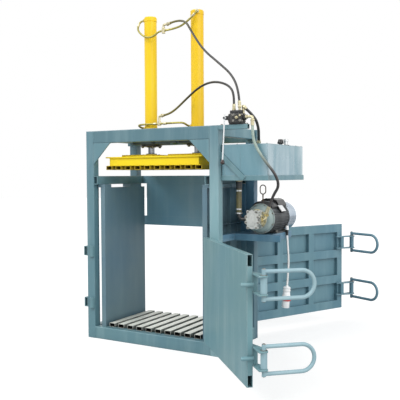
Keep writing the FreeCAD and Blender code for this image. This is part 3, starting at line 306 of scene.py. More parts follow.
def plastic(name, main, shade, scuff, rough, coat, end=None):
    finish = Finish(name)
    clouds = finish.patches(0.36, 0.68, 22.0, 4.0, 0.6)
    scuffs = finish.patches(0.6, 0.7, 90.0, 6.0, 0.7)
    grain = finish.noise(600.0, 2.0)
    soft, rim = finish.edges(0.0016, 2.0)
    colour = finish.mix(0.7 * clouds, main, shade)
    if end:
        colour = finish.mix(finish.past(end["axis"], end["level"], end["blend"]), colour, end["tint"])
    colour = finish.mix((0.22 * scuffs + 0.3 * rim).held(), colour, scuff)
    return finish.done(colour, rough + 0.1 * clouds + 0.16 * scuffs, grain, (0.1, 0.0005), soft,
                       Coat_Weight=coat, Coat_Roughness=0.2)


finishes = {}
for make, looks in ((paint, paintLook), (metal, metalLook), (casting, castLook), (plastic, plasticLook)):
    for name, look in looks.items():
        finishes[name] = make(name, *look)

dressed = {  # the frame's own pieces that are seen
    "framePaint": ["base_frame", "side_rails", "floor_bearers", "hinge_posts", "latch_keepers", "valve_arm"],
    "postPaint": ["front_posts"],
    "beamPaint": ["top_beams"],
    # painted shade: the rear posts and motor shelf take the darker, bluer copy of the frame paint
    "rearPaint": ["rear_posts", "motor_shelf"],
    # painted shade: the cylinder beams take the darker copy of the frame paint
    "shadePaint": ["cylinder_beams"],
    "panelPaint": ["rear_upper_panel"],
    "doorPaint": ["front_door_frame", "front_door_sheet", "front_door_fittings"],
    "rearDoorPaint": ["rear_door_frame", "rear_door_sheet", "rear_door_fittings"],
    "wallPaint": ["left_side_wall", "right_side_wall"],
    "handlePaint": ["front_upper_handle", "front_lower_handle"],
    "rearHandlePaint": ["rear_upper_handle", "rear_lower_handle"],
    "yellowPaint": ["cylinder_barrels", "cylinder_caps", "rod_flanges"],
    "platenPaint": ["platen"],
    "slatPaint": ["floor_slats"],
    "channelPaint": ["platen_channels"],
    "glandSteel": ["cylinder_glands"],
    "chromedRod": ["piston_rods"],
    "platedFittings": ["hydraulic_fittings"],
    "suctionRubber": ["suction_hose"],
    "blackPlastic": ["breather_cap", "terminal_cover", "cord_gland", "motor_fan"],
    "platedSilver": ["filler_cap"],
    "knobPlastic": ["lever_knob"],
    "pumpAlloy": ["gear_pump"],
    "boltSteel": ["machine_bolts"],
    "loopSteel": ["lifting_loop"],
    "leverRod": ["control_lever"],
    "valveIron": ["valve_body"],
}

for finish, names in dressed.items():
    for name in names:
        for holder in nodes[name].material_slots:
            holder.material = finishes[finish]
print("finishes made and given to the frame's pieces")


# hoses and cord

hoseLines = {
    "upperHose": {
        "node": "upper_hose", "width": 0.02, "length": 1.319, "finish": "hoseRubber", "crimps": (0.036, 0.04),
        "points": [
            (0.04, -0.062, 3.012), (0.208, -0.098, 3.032), (0.312, -0.126, 2.88), (0.452, -0.168, 2.703),
            (0.648, -0.236, 2.558), (0.806, -0.294, 2.438), (0.905, -0.362, 2.3), (0.92, -0.374, 2.194)]},
    "lowerHose": {
        "node": "lower_hose", "width": 0.02, "length": 1.169, "finish": "hoseRubber", "crimps": (0.04, 0.022),
        "points": [
            (0.87, -0.374, 2.172), (0.87, -0.372, 2.258), (0.815, -0.347, 2.33), (0.7, -0.295, 2.378),
            (0.56, -0.228, 2.398), (0.4, -0.155, 2.372), (0.23, -0.085, 2.29), (0.09, -0.048, 2.203),
            (0.000, -0.037, 2.16), (-0.057, -0.034, 2.152)]},
    "pressureHose": {
        "node": "pressure_hose", "width": 0.024, "length": 0.816, "finish": "paleHose",
        "crimps": (0.04, 0.06),
        "points": [
            (1.047, -0.384, 1.985), (1.047, -0.383, 1.88), (1.092, -0.378, 1.78), (1.17, -0.376, 1.672),
            (1.238, -0.345, 1.578), (1.24, -0.275, 1.48), (1.155, -0.21, 1.4), (1.11, -0.193, 1.305)]},
    "returnHose": {
        "node": "return_hose", "width": 0.024, "length": 0.314, "finish": "hoseRubber",
        "crimps": (0.022, 0.014),
        "points": [
            (0.966, -0.335, 2.128), (1.036, -0.308, 2.06), (1.047, -0.265, 1.968), (1.03, -0.226, 1.905),
            (1.021, -0.207, 1.873)]},
}

cordLine = {
    "node": "power_cord", "width": 0.018, "length": 0.486,
    "points": [(1.088, 0.256, 1.05), (1.094, 0.254, 0.93), (1.104, 0.256, 0.8), (1.098, 0.257, 0.68),
               (1.089, 0.256, 0.565)]}

pipeLines = {"node": "cylinder_pipes", "width": 0.019, "routes": [
    [(-0.337, 0.0465, 2.042), (-0.372, 0.0465, 2.042), (-0.372, -0.034, 2.066), (-0.3, -0.036, 2.074),
     (-0.129, -0.034, 2.072)],
    [(-0.101, -0.034, 2.072), (0.1, -0.036, 2.074), (0.161, -0.034, 2.07), (0.161, 0.0465, 2.044),
     (0.195, 0.0465, 2.042)],
    [(-0.339, 0.0465, 3.1), (-0.382, 0.036, 3.098), (-0.396, 0.004, 3.015), (-0.32, -0.038, 2.946),
     (-0.232, -0.052, 2.902), (-0.16, -0.049, 2.912), (-0.11, -0.049, 2.95), (-0.064, -0.049, 2.952)],
    [(-0.036, -0.049, 2.952), (0.11, -0.049, 2.956), (0.225, -0.049, 3.012), (0.3165, -0.041, 3.094),
     (0.3025, -0.0167, 3.1)]]}


def fit(name, data, finish, body="frame", stands=None):  # a piece of one finish, riding on its body
    data.materials.clear()
    data.materials.append(finishes[finish])
    piece = link(name, data)
    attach(piece, body)
    if stands:
        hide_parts(stands)
    return piece


def softLine(name, line, finish):
    data = bpy.data.curves.new(name, "CURVE")
    data.dimensions = "3D"
    data.bevel_depth = line["width"] / 2
    data.bevel_resolution = 5
    data.resolution_u = 10
    data.use_fill_caps = True
    for route in line.get("routes", [line.get("points")]):
        spline = data.splines.new("NURBS")
        spline.points.add(len(route) - 1)
        for knot, place in zip(spline.points, route):
            knot.co = (*place, 1)
        spline.order_u = 3
        spline.use_endpoint_u = True
    return fit(name, data, finish, stands=line["node"])


for hoseName, line in hoseLines.items():
    hose = softLine(hoseName, line, line["finish"])
softLine("portPipes", pipeLines, "darkPipe")
print("hoses and pipes laid")


# tools for the modelled pieces

def fresh(mesh):  # the corners made since the last call
    marks = mesh.verts.layers.int
    seen = marks.get("seen") or marks.new("seen")
    made = [corner for corner in mesh.verts if not corner[seen]]
    for corner in made:
        corner[seen] = 1
    return made


def aim(place, heading):
    return Matrix.Translation(place) @ Vector(heading).to_track_quat("Z", "Y").to_matrix().to_4x4()


def bevel(mesh, rims, width, segments=2):
    bmesh.ops.bevel(mesh, geom=rims, offset=width, offset_type="OFFSET", affect="EDGES", segments=segments,
                    profile=0.5, material=-1)


def move(mesh, matrix, corners=None):
    bmesh.ops.transform(mesh, matrix=matrix, verts=corners or mesh.verts)


def addBlock(mesh, low, high, rounding=0.001):
    low, high = Vector(low), Vector(high)
    made = bmesh.ops.create_cube(mesh, size=1.0)["verts"]
    shape = Matrix.Translation((low + high) / 2) @ Matrix.Diagonal((*(high - low), 1))
    move(mesh, shape, made)
    bevel(mesh, list({rim for corner in made for rim in corner.link_edges}), rounding)
    return fresh(mesh)


def addSlab(mesh, outline, y, depth):  # an outline in X and Z, pushed back from y
    front = mesh.faces.new([mesh.verts.new((x, y, z)) for x, z in outline])
    pushed = bmesh.ops.extrude_face_region(mesh, geom=[front])["geom"]
    moved = [part for part in pushed if isinstance(part, bmesh.types.BMVert)]
    bmesh.ops.translate(mesh, vec=(0, depth, 0), verts=moved)


def circle(count, radius, start=0.0):  # even points, the first at start degrees
    angles = [math.radians(start + 360 * n / count) for n in range(count)]
    return [(radius * math.cos(angle), radius * math.sin(angle)) for angle in angles]


def disc(radius, height):
    return [(0, 0), (radius, 0), (radius, height), (0, height)]


def band(inner, outer, low, high):
    return [(inner, low), (outer, low), (outer, high), (inner, high), (inner, low)]


def addTurned(mesh, profile, place, heading=(0, 0, 1), sides=24):
    corners = [mesh.verts.new((radius, 0, height)) for radius, height in profile]
    lines = [mesh.edges.new(pair) for pair in zip(corners, corners[1:])]
    bmesh.ops.spin(mesh, geom=corners + lines, cent=(0, 0, 0), axis=(0, 0, 1), angle=2 * math.pi, steps=sides,
                   use_merge=True)
    move(mesh, aim(place, heading), fresh(mesh))


def addHead(mesh, place, heading, flats, height):  # hexagon head with a chamfered top and a washer
    radius = flats / 1.732
    made = bmesh.ops.create_cone(mesh, cap_ends=True, segments=6, radius1=radius, radius2=radius,
                                 depth=height)["verts"]
    top = [corner for corner in made if corner.co.z > 0]
    rims = {rim for corner in top for rim in corner.link_edges}
    bevel(mesh, [rim for rim in rims if all(end in top for end in rim.verts)], height * 0.18, 1)
    raised = aim(place, heading) @ Matrix.Translation((0, 0, height / 2))
    move(mesh, raised, fresh(mesh))
    addTurned(mesh, disc(flats * 0.66, height * 0.2), place, heading, 20)


def addBead(mesh, start, axis, reach, radius):  # weld bead with ripples, from start to where axis is reach
    start = Vector(start)
    end = start.copy()
    setattr(end, axis, reach)
    run = end - start
    made = bmesh.ops.create_cone(mesh, cap_ends=True, segments=7, radius1=radius, radius2=radius,
                                 depth=run.length)["verts"]
    sides = [rim for rim in {rim for corner in made for rim in corner.link_edges}
             if abs(rim.verts[0].co.z - rim.verts[1].co.z) > run.length / 2]
    cuts = max(3, round(run.length / (1.5 * radius)))
    bmesh.ops.subdivide_edges(mesh, edges=sides, cuts=cuts, use_grid_fill=True)
    made = fresh(mesh)
    pitch = run.length / (cuts + 1)
    for corner in made:
        ripple = round((corner.co.z + run.length / 2) / pitch)
        swell = 0.55 if ripple in (0, cuts + 1) else 1.12 if ripple % 2 else 0.86
        corner.co.x *= swell * (1 + 0.06 * math.sin(ripple * 1.7))
        corner.co.y *= swell * (1 + 0.06 * math.cos(ripple * 2.3))
    move(mesh, aim((start + end) / 2, run), made)


def addPiece(mesh, name, finish, body="frame", sharp=35.0, stands=None):
    bmesh.ops.remove_doubles(mesh, verts=mesh.verts, dist=0.00001)
    bmesh.ops.recalc_face_normals(mesh, faces=mesh.faces)
    if "seen" in mesh.verts.layers.int:
        mesh.verts.layers.int.remove(mesh.verts.layers.int["seen"])
    data = bpy.data.meshes.new(name)
    mesh.to_mesh(data)
    mesh.free()
    data.shade_smooth()
    data.set_sharp_from_angle(angle=math.radians(sharp))
    fit(name, data, finish, body, stands)


# weld beads on the frame

weldPlan = {
    "size": 0.0042, "postX": 0.6375, "outerX": 0.7275, "faceY": 0.3935, "postBackY": 0.3135, "beamZ": 1.884,
    "topZ": 2.0, "sillZ": 0.115, "footZ": 0.0069, "railZ": (1.493, 1.567), "railEdges": (1.5715, 1.4885),
    "railY": (0.318, 0.388), "lugZ": 1.914, "gusset": 0.2, "gussetY": -0.3795,
    "seatX": (-0.376, -0.156, 0.156, 0.376), "seatZ": 1.8995, "seatHalf": 0.028,
}


def weldFrame():
    mesh = bmesh.new()
    w = weldPlan
    r, sill, top, back = w["size"], w["sillZ"], w["topZ"], w["postBackY"]
    for side in (-1, 1):
        x = side * w["postX"]
        outer = side * w["outerX"]
        for face in (-1, 1):
            inner = face * back
            addBead(mesh, (x, face * (w["faceY"] - 0.001), w["footZ"]), "z", sill - 0.006, r)
            addBead(mesh, (x, inner, sill), "x", outer, r)
            addBead(mesh, (outer, inner, 0.006), "z", sill - 0.004, r)
            addBead(mesh, (outer, inner, w["lugZ"]), "z", top - 0.004, r)
            addBead(mesh, (x, inner, w["railZ"][0]), "z", w["railZ"][1], r)
            for z in w["railEdges"]:
                addBead(mesh, (x, face * w["railY"][0], z), "y", face * w["railY"][1], r)
        addBead(mesh, (x, 0.001 - w["faceY"], w["beamZ"] + 0.004), "z", top - 0.006, r)
        corner = (x - side * 0.003, w["gussetY"], w["beamZ"] - 0.003)
        addBead(mesh, corner, "x", x - side * w["gusset"], r)
        addBead(mesh, corner, "z", corner[2] - w["gusset"], r)
        addBead(mesh, (x, back, w["beamZ"]), "x", outer, r)
        addBead(mesh, (x, w["faceY"] - 0.001, w["beamZ"]), "x", outer, r)
    for x in w["seatX"]:  # cylinder beams on the top beams
        for y in (-back, back):
            addBead(mesh, (x - w["seatHalf"], y, w["seatZ"]), "x", x + w["seatHalf"], r)
    addPiece(mesh, "frameWelds", "framePaint", sharp=60)


weldFrame()
print("frame welded")


# the frame's pieces that the scene changes: front gussets alone, a deeper tank, a longer motor

deeper = {"shifts": [(0.34, 2.0, 0.051)]}
reshaped = {  # new name, finish, slot, then what is kept below a Y, moved between two, or shrunk towards one
    "corner_gussets": ("frontGussets", "framePaint", "frame_paint", {"below": 0.0}),
    "oil_tank": ("tankShell", "tankPaint", "frame_paint", deeper),
    "tank_lid": ("tankCover", "tankPaint", "frame_paint", deeper),
    "tank_cradle": ("tankFoot", "framePaint", "frame_paint", deeper),
    "motor_body": ("motorShell", "motorIron", "motor_iron",
                   {"shifts": [(-2.0, 0.055, -0.07), (0.295, 2.0, -0.03)]}),
    "bell_housing": ("pumpBell", "bellCasting", "bell_alloy", {"towards": -0.105, "share": 0.44}),
    "fan_cover": ("rearCover", "fanCoverSteel", "fan_cover_steel",
                  {"shifts": [(-2.0, 0.33, -0.03), (0.33, 2.0, 0.031)]}),
}


def reshape(node, name, finish, slot, change):
    source = nodes[node]
    data = source.data.copy()
    data.name = name
    mesh = bmesh.new()
    mesh.from_mesh(data)
    move(mesh, source.matrix_world)
    if "below" in change:
        gone = [corner for corner in mesh.verts if corner.co.y >= change["below"]]
        bmesh.ops.delete(mesh, geom=gone, context="VERTS")
    for corner in mesh.verts:
        y = corner.co.y
        for low, high, shift in change.get("shifts", []):
            if low < y < high:
                corner.co.y = y + shift
        if "towards" in change:
            corner.co.y = change["towards"] + (y - change["towards"]) * change["share"]
    mesh.to_mesh(data)
    mesh.free()
    fit(name, data, finish, stands=node)


for node, change in reshaped.items():
    reshape(node, *change)

fillerLook = {
    "strip": ((0.5895, 0.306, 0.1155), (0.644, 0.314, 1.4895)), "motor": (0.9675, 1.188), "humpY": -0.026,
    "humpDeep": 0.147, "humpEdgeZ": 1.29,
    "hump": [(-0.092, 0.088), (0.092, 0.088), (0.098, 0.108), (0.07, 0.14), (0.038, 0.152), (-0.038, 0.152),
             (-0.07, 0.14), (-0.098, 0.108)],
}


def addFillers():  # the strip behind the right wall's rear edge, and the low hump of the motor's cover
    look = fillerLook
    mesh = bmesh.new()
    addBlock(mesh, *look["strip"], 0.0008)
    # the strip takes the rear paint, with its painted shade
    addPiece(mesh, "wallStrips", "rearPaint")
    mesh = bmesh.new()
    middle, level = look["motor"]
    addSlab(mesh, [(middle + x, level + z) for x, z in look["hump"]], look["humpY"], look["humpDeep"])
    bevel(mesh, [rim for rim in mesh.edges if min(end.co.z for end in rim.verts) > look["humpEdgeZ"]], 0.004)
    addPiece(mesh, "coverHump", "blackPlastic")


addFillers()
print("forms fitted")


# doors, dressed as if shut at the front and turned into place

doorLook = {
    "hingeX": 0.6515, "hingeY": -0.4115, "edgeX": 0.6345, "sheetY": -0.3565, "faceY": -0.3955,
    "turns": {"front": 133.5, "rear": -116.0}, "hinges": (0.24, 0.587, 0.934), "latches": (0.845, 0.345),
    "rails": ((0.134, 0.219), (0.4077, 0.4927), (0.6813, 0.7663), (0.955, 1.04)),
    "bays": ((0.08, 0.3296), (0.3996, 0.7536), (0.8236, 1.168)),
    "uprightEnds": ((0.003, 0.077), (0.332, 0.397), (0.756, 0.821), (1.171, 1.233)), "strap": 0.097,
    "strapTop": 0.051, "strapEnd": 0.02, "ear": 1.15, "earWide": 0.078,
    "earEdges": (0.056, -0.067, 0.067, -0.056), "latchX": -0.7055, "latchY": -0.4385, "pinTop": 0.0505,
    "pinCap": [(0, 0.009), (0.004, 0.0085), (0.01, 0.006), (0.0145, 0.002), (0.015, 0), (0, 0)],
    "nipple": [(0, 0.008), (0.0026, 0.008), (0.0026, 0.013), (0.0036, 0.0145), (0.0018, 0.018), (0, 0.018)],
    "barEnd": [(0, 0.006), (0.005, 0.0055), (0.011, 0.003), (0.0135, 0), (0, 0)], "barZ": 0.108,
    "washer": (0.0152, 0.024, 0, 0.0025), "washerZ": 0.0672,
}


def doorPlace(side):
    d = doorLook
    hinge = Matrix.Translation((d["hingeX"], d["hingeY"] if side == "front" else -d["hingeY"], 0))
    turned = hinge @ Matrix.Rotation(math.radians(d["turns"][side]), 4, "Z") @ hinge.inverted()
    return turned if side == "front" else turned @ Matrix.Diagonal((1, -1, 1, 1))


def dressDoor(side, paintName):
    d = doorLook
    hinge, edge, face = d["hingeX"], d["edgeX"], d["faceY"]
    shut = doorPlace(side)
    door = side + "_door"
    mesh = bmesh.new()
    for low, high in d["bays"]:  # sheet against the cross tubes
        for below, above in zip(d["rails"], d["rails"][1:]):
            for z in (below[1] + 0.001, above[0] - 0.001):
                for start in (low + 0.012, high - 0.062):
                    x = edge - start
                    addBead(mesh, (x, d["sheetY"], z), "x", x - 0.05, 0.0032)
    for z in (d["rails"][0][1], d["rails"][-1][0]):  # uprights against the top and bottom tubes
        for start, end in d["uprightEnds"]:
            addBead(mesh, (edge - start, face + 0.0025, z), "x", edge - end, 0.0032)
    for z in d["hinges"]:
        strap = hinge - d["strap"]
        addBead(mesh, (strap, face, z + 0.003), "z", z + 0.048, 0.004)
        addBead(mesh, (strap, face, z + d["strapTop"]), "x", hinge - d["strapEnd"], 0.0035)
    for z in d["latches"]:
        for rim in d["earEdges"]:
            near = edge - d["ear"]
            addBead(mesh, (near, face, z + rim), "x", near - d["earWide"], 0.0036)
    move(mesh, shut)
    addPiece(mesh, side + "DoorWelds", paintName, body=door, sharp=60)

    mesh = bmesh.new()
    for z in d["hinges"]:  # the cap over each hinge pin, with a grease nipple
        top = (hinge, d["hingeY"], z + d["pinTop"])
        addTurned(mesh, d["pinCap"], top)
        addTurned(mesh, d["nipple"], top, sides=12)
    move(mesh, shut)
    addPiece(mesh, side + "HingeCaps", "boltSteel", body=door)

    for level, z in zip(("upper", "lower"), d["latches"]):  # washers and domed ends on the latch pins
        mesh = bmesh.new()
        for way in (-1, 1):
            addTurned(mesh, d["barEnd"], (d["latchX"], d["latchY"], z + way * d["barZ"]), (0, 0, way))
            ear = (d["latchX"], d["latchY"], z + way * d["washerZ"])
            addTurned(mesh, band(*d["washer"]), ear, (0, 0, way))
        move(mesh, shut)
        addPiece(mesh, side + level.capitalize() + "LatchCaps", "boltSteel",
                 body=f"{side}_{level}_handle")


dressDoor("front", "doorPaint")
dressDoor("rear", "rearDoorPaint")

postLook = {
    "faceY": 0.3945, "leaf": 0.7025, "leafEdge": 0.672, "keepers": (-0.691, -0.6395), "keeperHalf": 0.05,
    "pocket": -0.7285, "pocketY": (0.339, 0.389), "pocketHalf": 0.0465,
    "foot": [(0, 0.005), (0.008, 0.0045), (0.014, 0.0015), (0.0145, 0), (0, 0)],
}


def dressPosts():  # leaf welds and the lower caps of the hinges, keeper and pocket welds
    look = postLook
    welds, caps = bmesh.new(), bmesh.new()
    for face in (-1, 1):
        y = face * look["faceY"]
        for z in doorLook["hinges"]:
            addBead(welds, (look["leaf"], y, z - 0.047), "z", z - 0.003, 0.004)
            for level in (z - 0.0505, z + 0.0005):
                addBead(welds, (look["leafEdge"], y, level), "x", look["leaf"], 0.0035)
            foot = (doorLook["hingeX"], -face * doorLook["hingeY"], z - 0.05)
            addTurned(caps, look["foot"], foot, (0, 0, -1))
        for z in doorLook["latches"]:
            for x in look["keepers"]:
                addBead(welds, (x, y, z - look["keeperHalf"]), "z", z + look["keeperHalf"], 0.0036)
            for level in (z - look["pocketHalf"], z + look["pocketHalf"]):
                start, end = look["pocketY"]
                addBead(welds, (look["pocket"], face * start, level), "y", face * end, 0.0036)
    addPiece(welds, "postWelds", "framePaint", sharp=60)
    addPiece(caps, "hingeFeet", "boltSteel")


dressPosts()
print("doors and posts dressed")


# platen, rods and cylinders

pressLook = {
    "cylinders": (-0.266, 0.266), "y": 0.0465, "lidZ": 1.751, "flangeZ": 1.772, "halfWide": 0.18,
    "halfDeep": 0.246, "lid": ((-0.533, -0.3395, 1.7395), (0.533, 0.3125, 1.751)), "boltRing": 0.076,
    "bolt": (0.019, 0.009), "tubes": [(n - 4.5) * 0.1105 for n in range(10)], "tubeY": (-0.3337, 0.3067),
    "tubeZ": 1.6665, "tubeHalf": 0.02, "boxY": (-0.334, 0.307), "boxZ": 1.7385, "boxHalf": 0.49,
    "wiperZ": 1.855, "seams": ((3.08, 0.0622), (2.0, 0.0612)),
    "collar": [(0.0326, 0.016), (0.052, 0.016), (0.055, 0.012), (0.055, 0.0), (0.0326, 0.0)],
    "wiper": [(0.0332, 0), (0.0332, 0.004), (0.038, 0.006), (0.046, 0.005), (0.048, 0.0), (0.0332, 0)],
    "seam": [(-0.003, -0.0045), (0.0015, -0.003), (0.0026, 0), (0.0015, 0.003), (-0.003, 0.0045)],
}


def dressPress():
    look = pressLook
    wide, deep, lid, middle = look["halfWide"], look["halfDeep"], look["lidZ"], look["y"]
    plates, welds, rings, wipers, seams = (bmesh.new() for piece in range(5))
    addBlock(plates, *look["lid"], 0.002)
    for x in look["cylinders"]:
        low, high = (x - wide, middle - deep, lid - 0.001), (x + wide, middle + deep, look["flangeZ"])
        addBlock(plates, low, high, 0.0025)
        for y in (middle - deep, middle + deep):
            addBead(welds, (x - wide + 0.01, y, lid), "x", x + wide - 0.01, 0.0045)
        for edge in (x - wide, x + wide):
            addBead(welds, (edge, middle - deep + 0.01, lid), "y", middle + deep - 0.01, 0.0045)
        addTurned(rings, look["collar"], (x, middle, look["flangeZ"]), sides=36)
        for across, along in circle(6, look["boltRing"], 30):
            addHead(rings, (x + across, middle + along, look["flangeZ"]), (0, 0, 1), *look["bolt"])
        addTurned(wipers, look["wiper"], (x, middle, look["wiperZ"]), (0, 0, -1), 36)
        for z, radius in look["seams"]:
            addTurned(seams, [(radius + out, up) for out, up in look["seam"]], (x, middle, z), sides=48)
    for y in look["tubeY"]:  # tubes against the box
        for x in look["tubes"]:
            addBead(welds, (x - look["tubeHalf"], y, look["tubeZ"]), "x", x + look["tubeHalf"], 0.003)
    for y in look["boxY"]:
        addBead(welds, (-look["boxHalf"], y, look["boxZ"]), "x", look["boxHalf"], 0.0035)
    addPiece(plates, "platenPlates", "platenPaint", body="press")
    addPiece(welds, "platenWelds", "platenPaint", body="press", sharp=60)
    addPiece(rings, "rodCollars", "boltSteel", body="press")
    addPiece(wipers, "rodWipers", "blackPlastic")
    addPiece(seams, "barrelSeams", "yellowPaint")


dressPress()
print("press dressed")


# ends of the hoses

crimpLook = {"sink": 0.0012, "groove": 0.001, "pitch": 0.0062, "wall": 0.003}


def crimpHoses():
    mesh = bmesh.new()
    for line in hoseLines.values():
        radius = line["width"] / 2 + crimpLook["wall"]
        low, high = radius - crimpLook["sink"], radius + crimpLook["groove"]
        ridge = [(low, -0.0018), (high, -0.0013), (high, 0.0013), (low, 0.0018)]
        route = line["points"]
        for end, onward, length in zip((route[0], route[-1]), (route[1], route[-2]), line["crimps"]):
            heading = (Vector(onward) - Vector(end)).normalized()
            for step in range(int((length - 0.004) / crimpLook["pitch"])):
                place = Vector(end) - heading * (length - 0.003 - step * crimpLook["pitch"])
                addTurned(mesh, ridge, place, heading, 20)
    addPiece(mesh, "hoseCrimps", "platedFittings")


crimpHoses()

portLook = {
    "nuts": [((-0.337, 0.0465, 2.042), (-1, 0, 0), 0.014), ((0.195, 0.0465, 2.042), (-1, 0, 0), 0.014),
             ((-0.339, 0.0465, 3.1), (-1, 0, 0), 0.016), ((0.3025, -0.0167, 3.1), (0.5, -0.866, 0), 0.016)],
    "flats": 0.027, "sleeveHalf": 0.019,
    "sleeves": [((-0.389, 0.02, 3.0565), (-0.014, -0.032, -0.083)),
                ((0.279, -0.0445, 3.0605), (0.0915, 0.008, 0.082)), ((-0.168, -0.0345, 2.0725),
                                                                     (1, 0, 0)), ((-0.052, -0.0345, 2.0725),
                                                                                  (1, 0, 0))],
    "sleeve": [(0.009, 0), (0.0118, 0.001), (0.0128, 0.004), (0.0128, 0.034), (0.0118, 0.037),
               (0.009, 0.038)],
}


def nutPorts():  # union nuts where the pipes meet the cylinders, and sleeves along the pipes
    look = portLook
    mesh = bmesh.new()
    for place, heading, height in look["nuts"]:
        addHead(mesh, place, heading, look["flats"], height)
    for middle, heading in look["sleeves"]:
        start = Vector(middle) - Vector(heading).normalized() * look["sleeveHalf"]
        addTurned(mesh, look["sleeve"], start, heading, 24)
    addPiece(mesh, "portNuts", "platedFittings")


nutPorts()

clampLook = {
    "x": 0.8235, "y": -0.1935, "bands": (1.275, 1.437), "band": (0.0238, 0.0256, -0.006, 0.006),
    "bootZ": 1.232, "boot": (0.0262, 0.03, 0.002, 0.014),
}


def clampSuction():  # worm-drive bands on the suction hose
    look = clampLook
    x, y = look["x"], look["y"]
    mesh = bmesh.new()
    for z in look["bands"]:
        addTurned(mesh, band(*look["band"]), (x, y, z), sides=32)
        addBlock(mesh, (x - 0.009, y - 0.034, z - 0.007), (x + 0.009, y - 0.0235, z + 0.007), 0.0015)
        addTurned(mesh, disc(0.0048, 0.006), (x + 0.009, y - 0.029, z), (1, 0, 0), 8)
    addTurned(mesh, band(*look["boot"]), (x, y, look["bootZ"]), sides=32)
    addPiece(mesh, "suctionClamps", "platedSilver")


clampSuction()
print("hose ends dressed")


# tank and valve

tankLook = {
    "lidZ": 1.835,
    "screws": [(x, y) for x in (0.7465, 0.877, 1.022, 1.1535) for y in (-0.3305, -0.135, 0.3, 0.432)
               if x < 1 or y != -0.135],
    "screw": [(0, 0.005), (0.003, 0.0045), (0.0065, 0.0025), (0.0072, 0), (0, 0)],
    "left": 0.7355, "right": 1.1645, "edgeY": -0.3415, "footZ": 1.5712, "seat": (0.0172, 0.03, 0, 0.003),
    "caps": ((1.0875, 0.1065), (1.1395, 0.1065)), "ribs": 14, "ribRing": 0.0268, "ribZ": (1.852, 1.862),
    "ribHalf": 0.0016,
}


def dressTank():
    look = tankLook
    mesh = bmesh.new()
    for place in look["screws"]:
        addTurned(mesh, look["screw"], (*place, look["lidZ"]), sides=14)
    addPiece(mesh, "lidScrews", "boltSteel")
    mesh = bmesh.new()
    for x in (look["left"], look["right"]):
        addBead(mesh, (x, look["edgeY"], 1.5745), "z", 1.826, 0.0022)
    corner = (look["left"] + 0.0005, look["edgeY"] - 0.002, look["footZ"])
    addBead(mesh, corner, "x", look["right"] - 0.0005, 0.0028)
    addBead(mesh, (look["right"] + 0.002, -0.34, look["footZ"]), "y", 0.441, 0.0028)
    addBead(mesh, (0.9125, -0.3428, 1.575), "z", 1.827, 0.0016)  # seam of the front sheet
    addPiece(mesh, "tankWelds", "tankPaint", sharp=60)
    mesh = bmesh.new()
    for place in look["caps"]:
        addTurned(mesh, band(*look["seat"])[:-1], (*place, look["lidZ"]), sides=28)
    low, high = look["ribZ"]
    half = look["ribHalf"]
    for across, along in circle(look["ribs"], look["ribRing"]):  # grip ribs of the breather
        x, y = look["caps"][0][0] + across, look["caps"][0][1] + along
        addBlock(mesh, (x - half, y - half, low), (x + half, y + half, high), 0.0004)
    addPiece(mesh, "capSeats", "blackPlastic")


dressTank()

valveLook = {
    "left": 0.838, "right": 0.958, "front": -0.412, "back": -0.336, "low": 2.01, "top": 2.09,
    "joints": (0.862, 0.898, 0.934), "rods": [(y, z) for z in (2.024, 2.078) for y in (-0.401, -0.347)],
    "plugs": ((0.88, 2.076), (0.946, 2.028), (0.88, 2.028)), "reliefX": 0.915, "reliefZ": 2.054,
    "cap": [(0, 0.014), (0.01, 0.014), (0.013, 0.011), (0.013, 0), (0, 0)],
    "screw": [(0, 0.026), (0.0055, 0.026), (0.0065, 0.024), (0.0065, 0.01), (0, 0.01)],
    "stud": [(0, 0.006), (0.009, 0.006), (0.009, 0), (0, 0)], "studX": 0.946, "studZ": 2.072,
    "armBolts": ((0.752, -0.3735, 2.0), (0.99, -0.3735, 2.0)), "armX": 0.7285,
}


def dressValve():
    v = valveLook
    front, back, low, top = (v[key] for key in ("front", "back", "low", "top"))
    mesh = bmesh.new()
    for x in v["joints"]:  # joints between the valve's sections, and their tie-rod nuts
        addBlock(mesh, (x - 0.0012, front - 0.0014, low + 0.006), (x + 0.0012, back + 0.0014, top + 0.0012),
                 0.0004)
    for y, z in v["rods"]:
        addHead(mesh, (v["right"], y, z), (1, 0, 0), 0.013, 0.008)
        addHead(mesh, (v["left"], y, z), (-1, 0, 0), 0.013, 0.008)
    for x, z in v["plugs"]:
        addHead(mesh, (x, front, z), (0, -1, 0), 0.016, 0.008)
    addPiece(mesh, "valveJoints", "boltSteel")
    mesh = bmesh.new()  # raised port block round the risers, and the foot
    addBlock(mesh, (0.846, front + 0.006, top - 0.001), (0.95, back - 0.005, top + 0.027), 0.004)
    addBlock(mesh, (0.852, front + 0.002, low - 0.001), (0.944, front + 0.01, low + 0.005), 0.001)
    addPiece(mesh, "valveHead", "valveIron")
    mesh = bmesh.new()
    relief = (v["reliefX"], front, v["reliefZ"])
    addTurned(mesh, v["cap"], relief, (0, -1, 0), 20)
    addTurned(mesh, v["screw"], relief, (0, -1, 0), 16)
    addTurned(mesh, v["stud"], (v["studX"], front, v["studZ"]), (0, -1, 0), 16)
    addPiece(mesh, "reliefScrew", "platedFittings")
    mesh = bmesh.new()
    for place in v["armBolts"]:
        addHead(mesh, place, (0, 0, 1), 0.017, 0.009)
    addPiece(mesh, "armBolts", "boltSteel")
    mesh = bmesh.new()
    addBead(mesh, (v["armX"], -0.3925, 1.963), "z", 1.997, 0.0034)
    addBead(mesh, (v["armX"], -0.389, 1.9605), "y", -0.357, 0.0034)
    addPiece(mesh, "armWelds", "framePaint", sharp=60)


dressValve()
print("tank and valve dressed")


# motor, pump, gland and plug

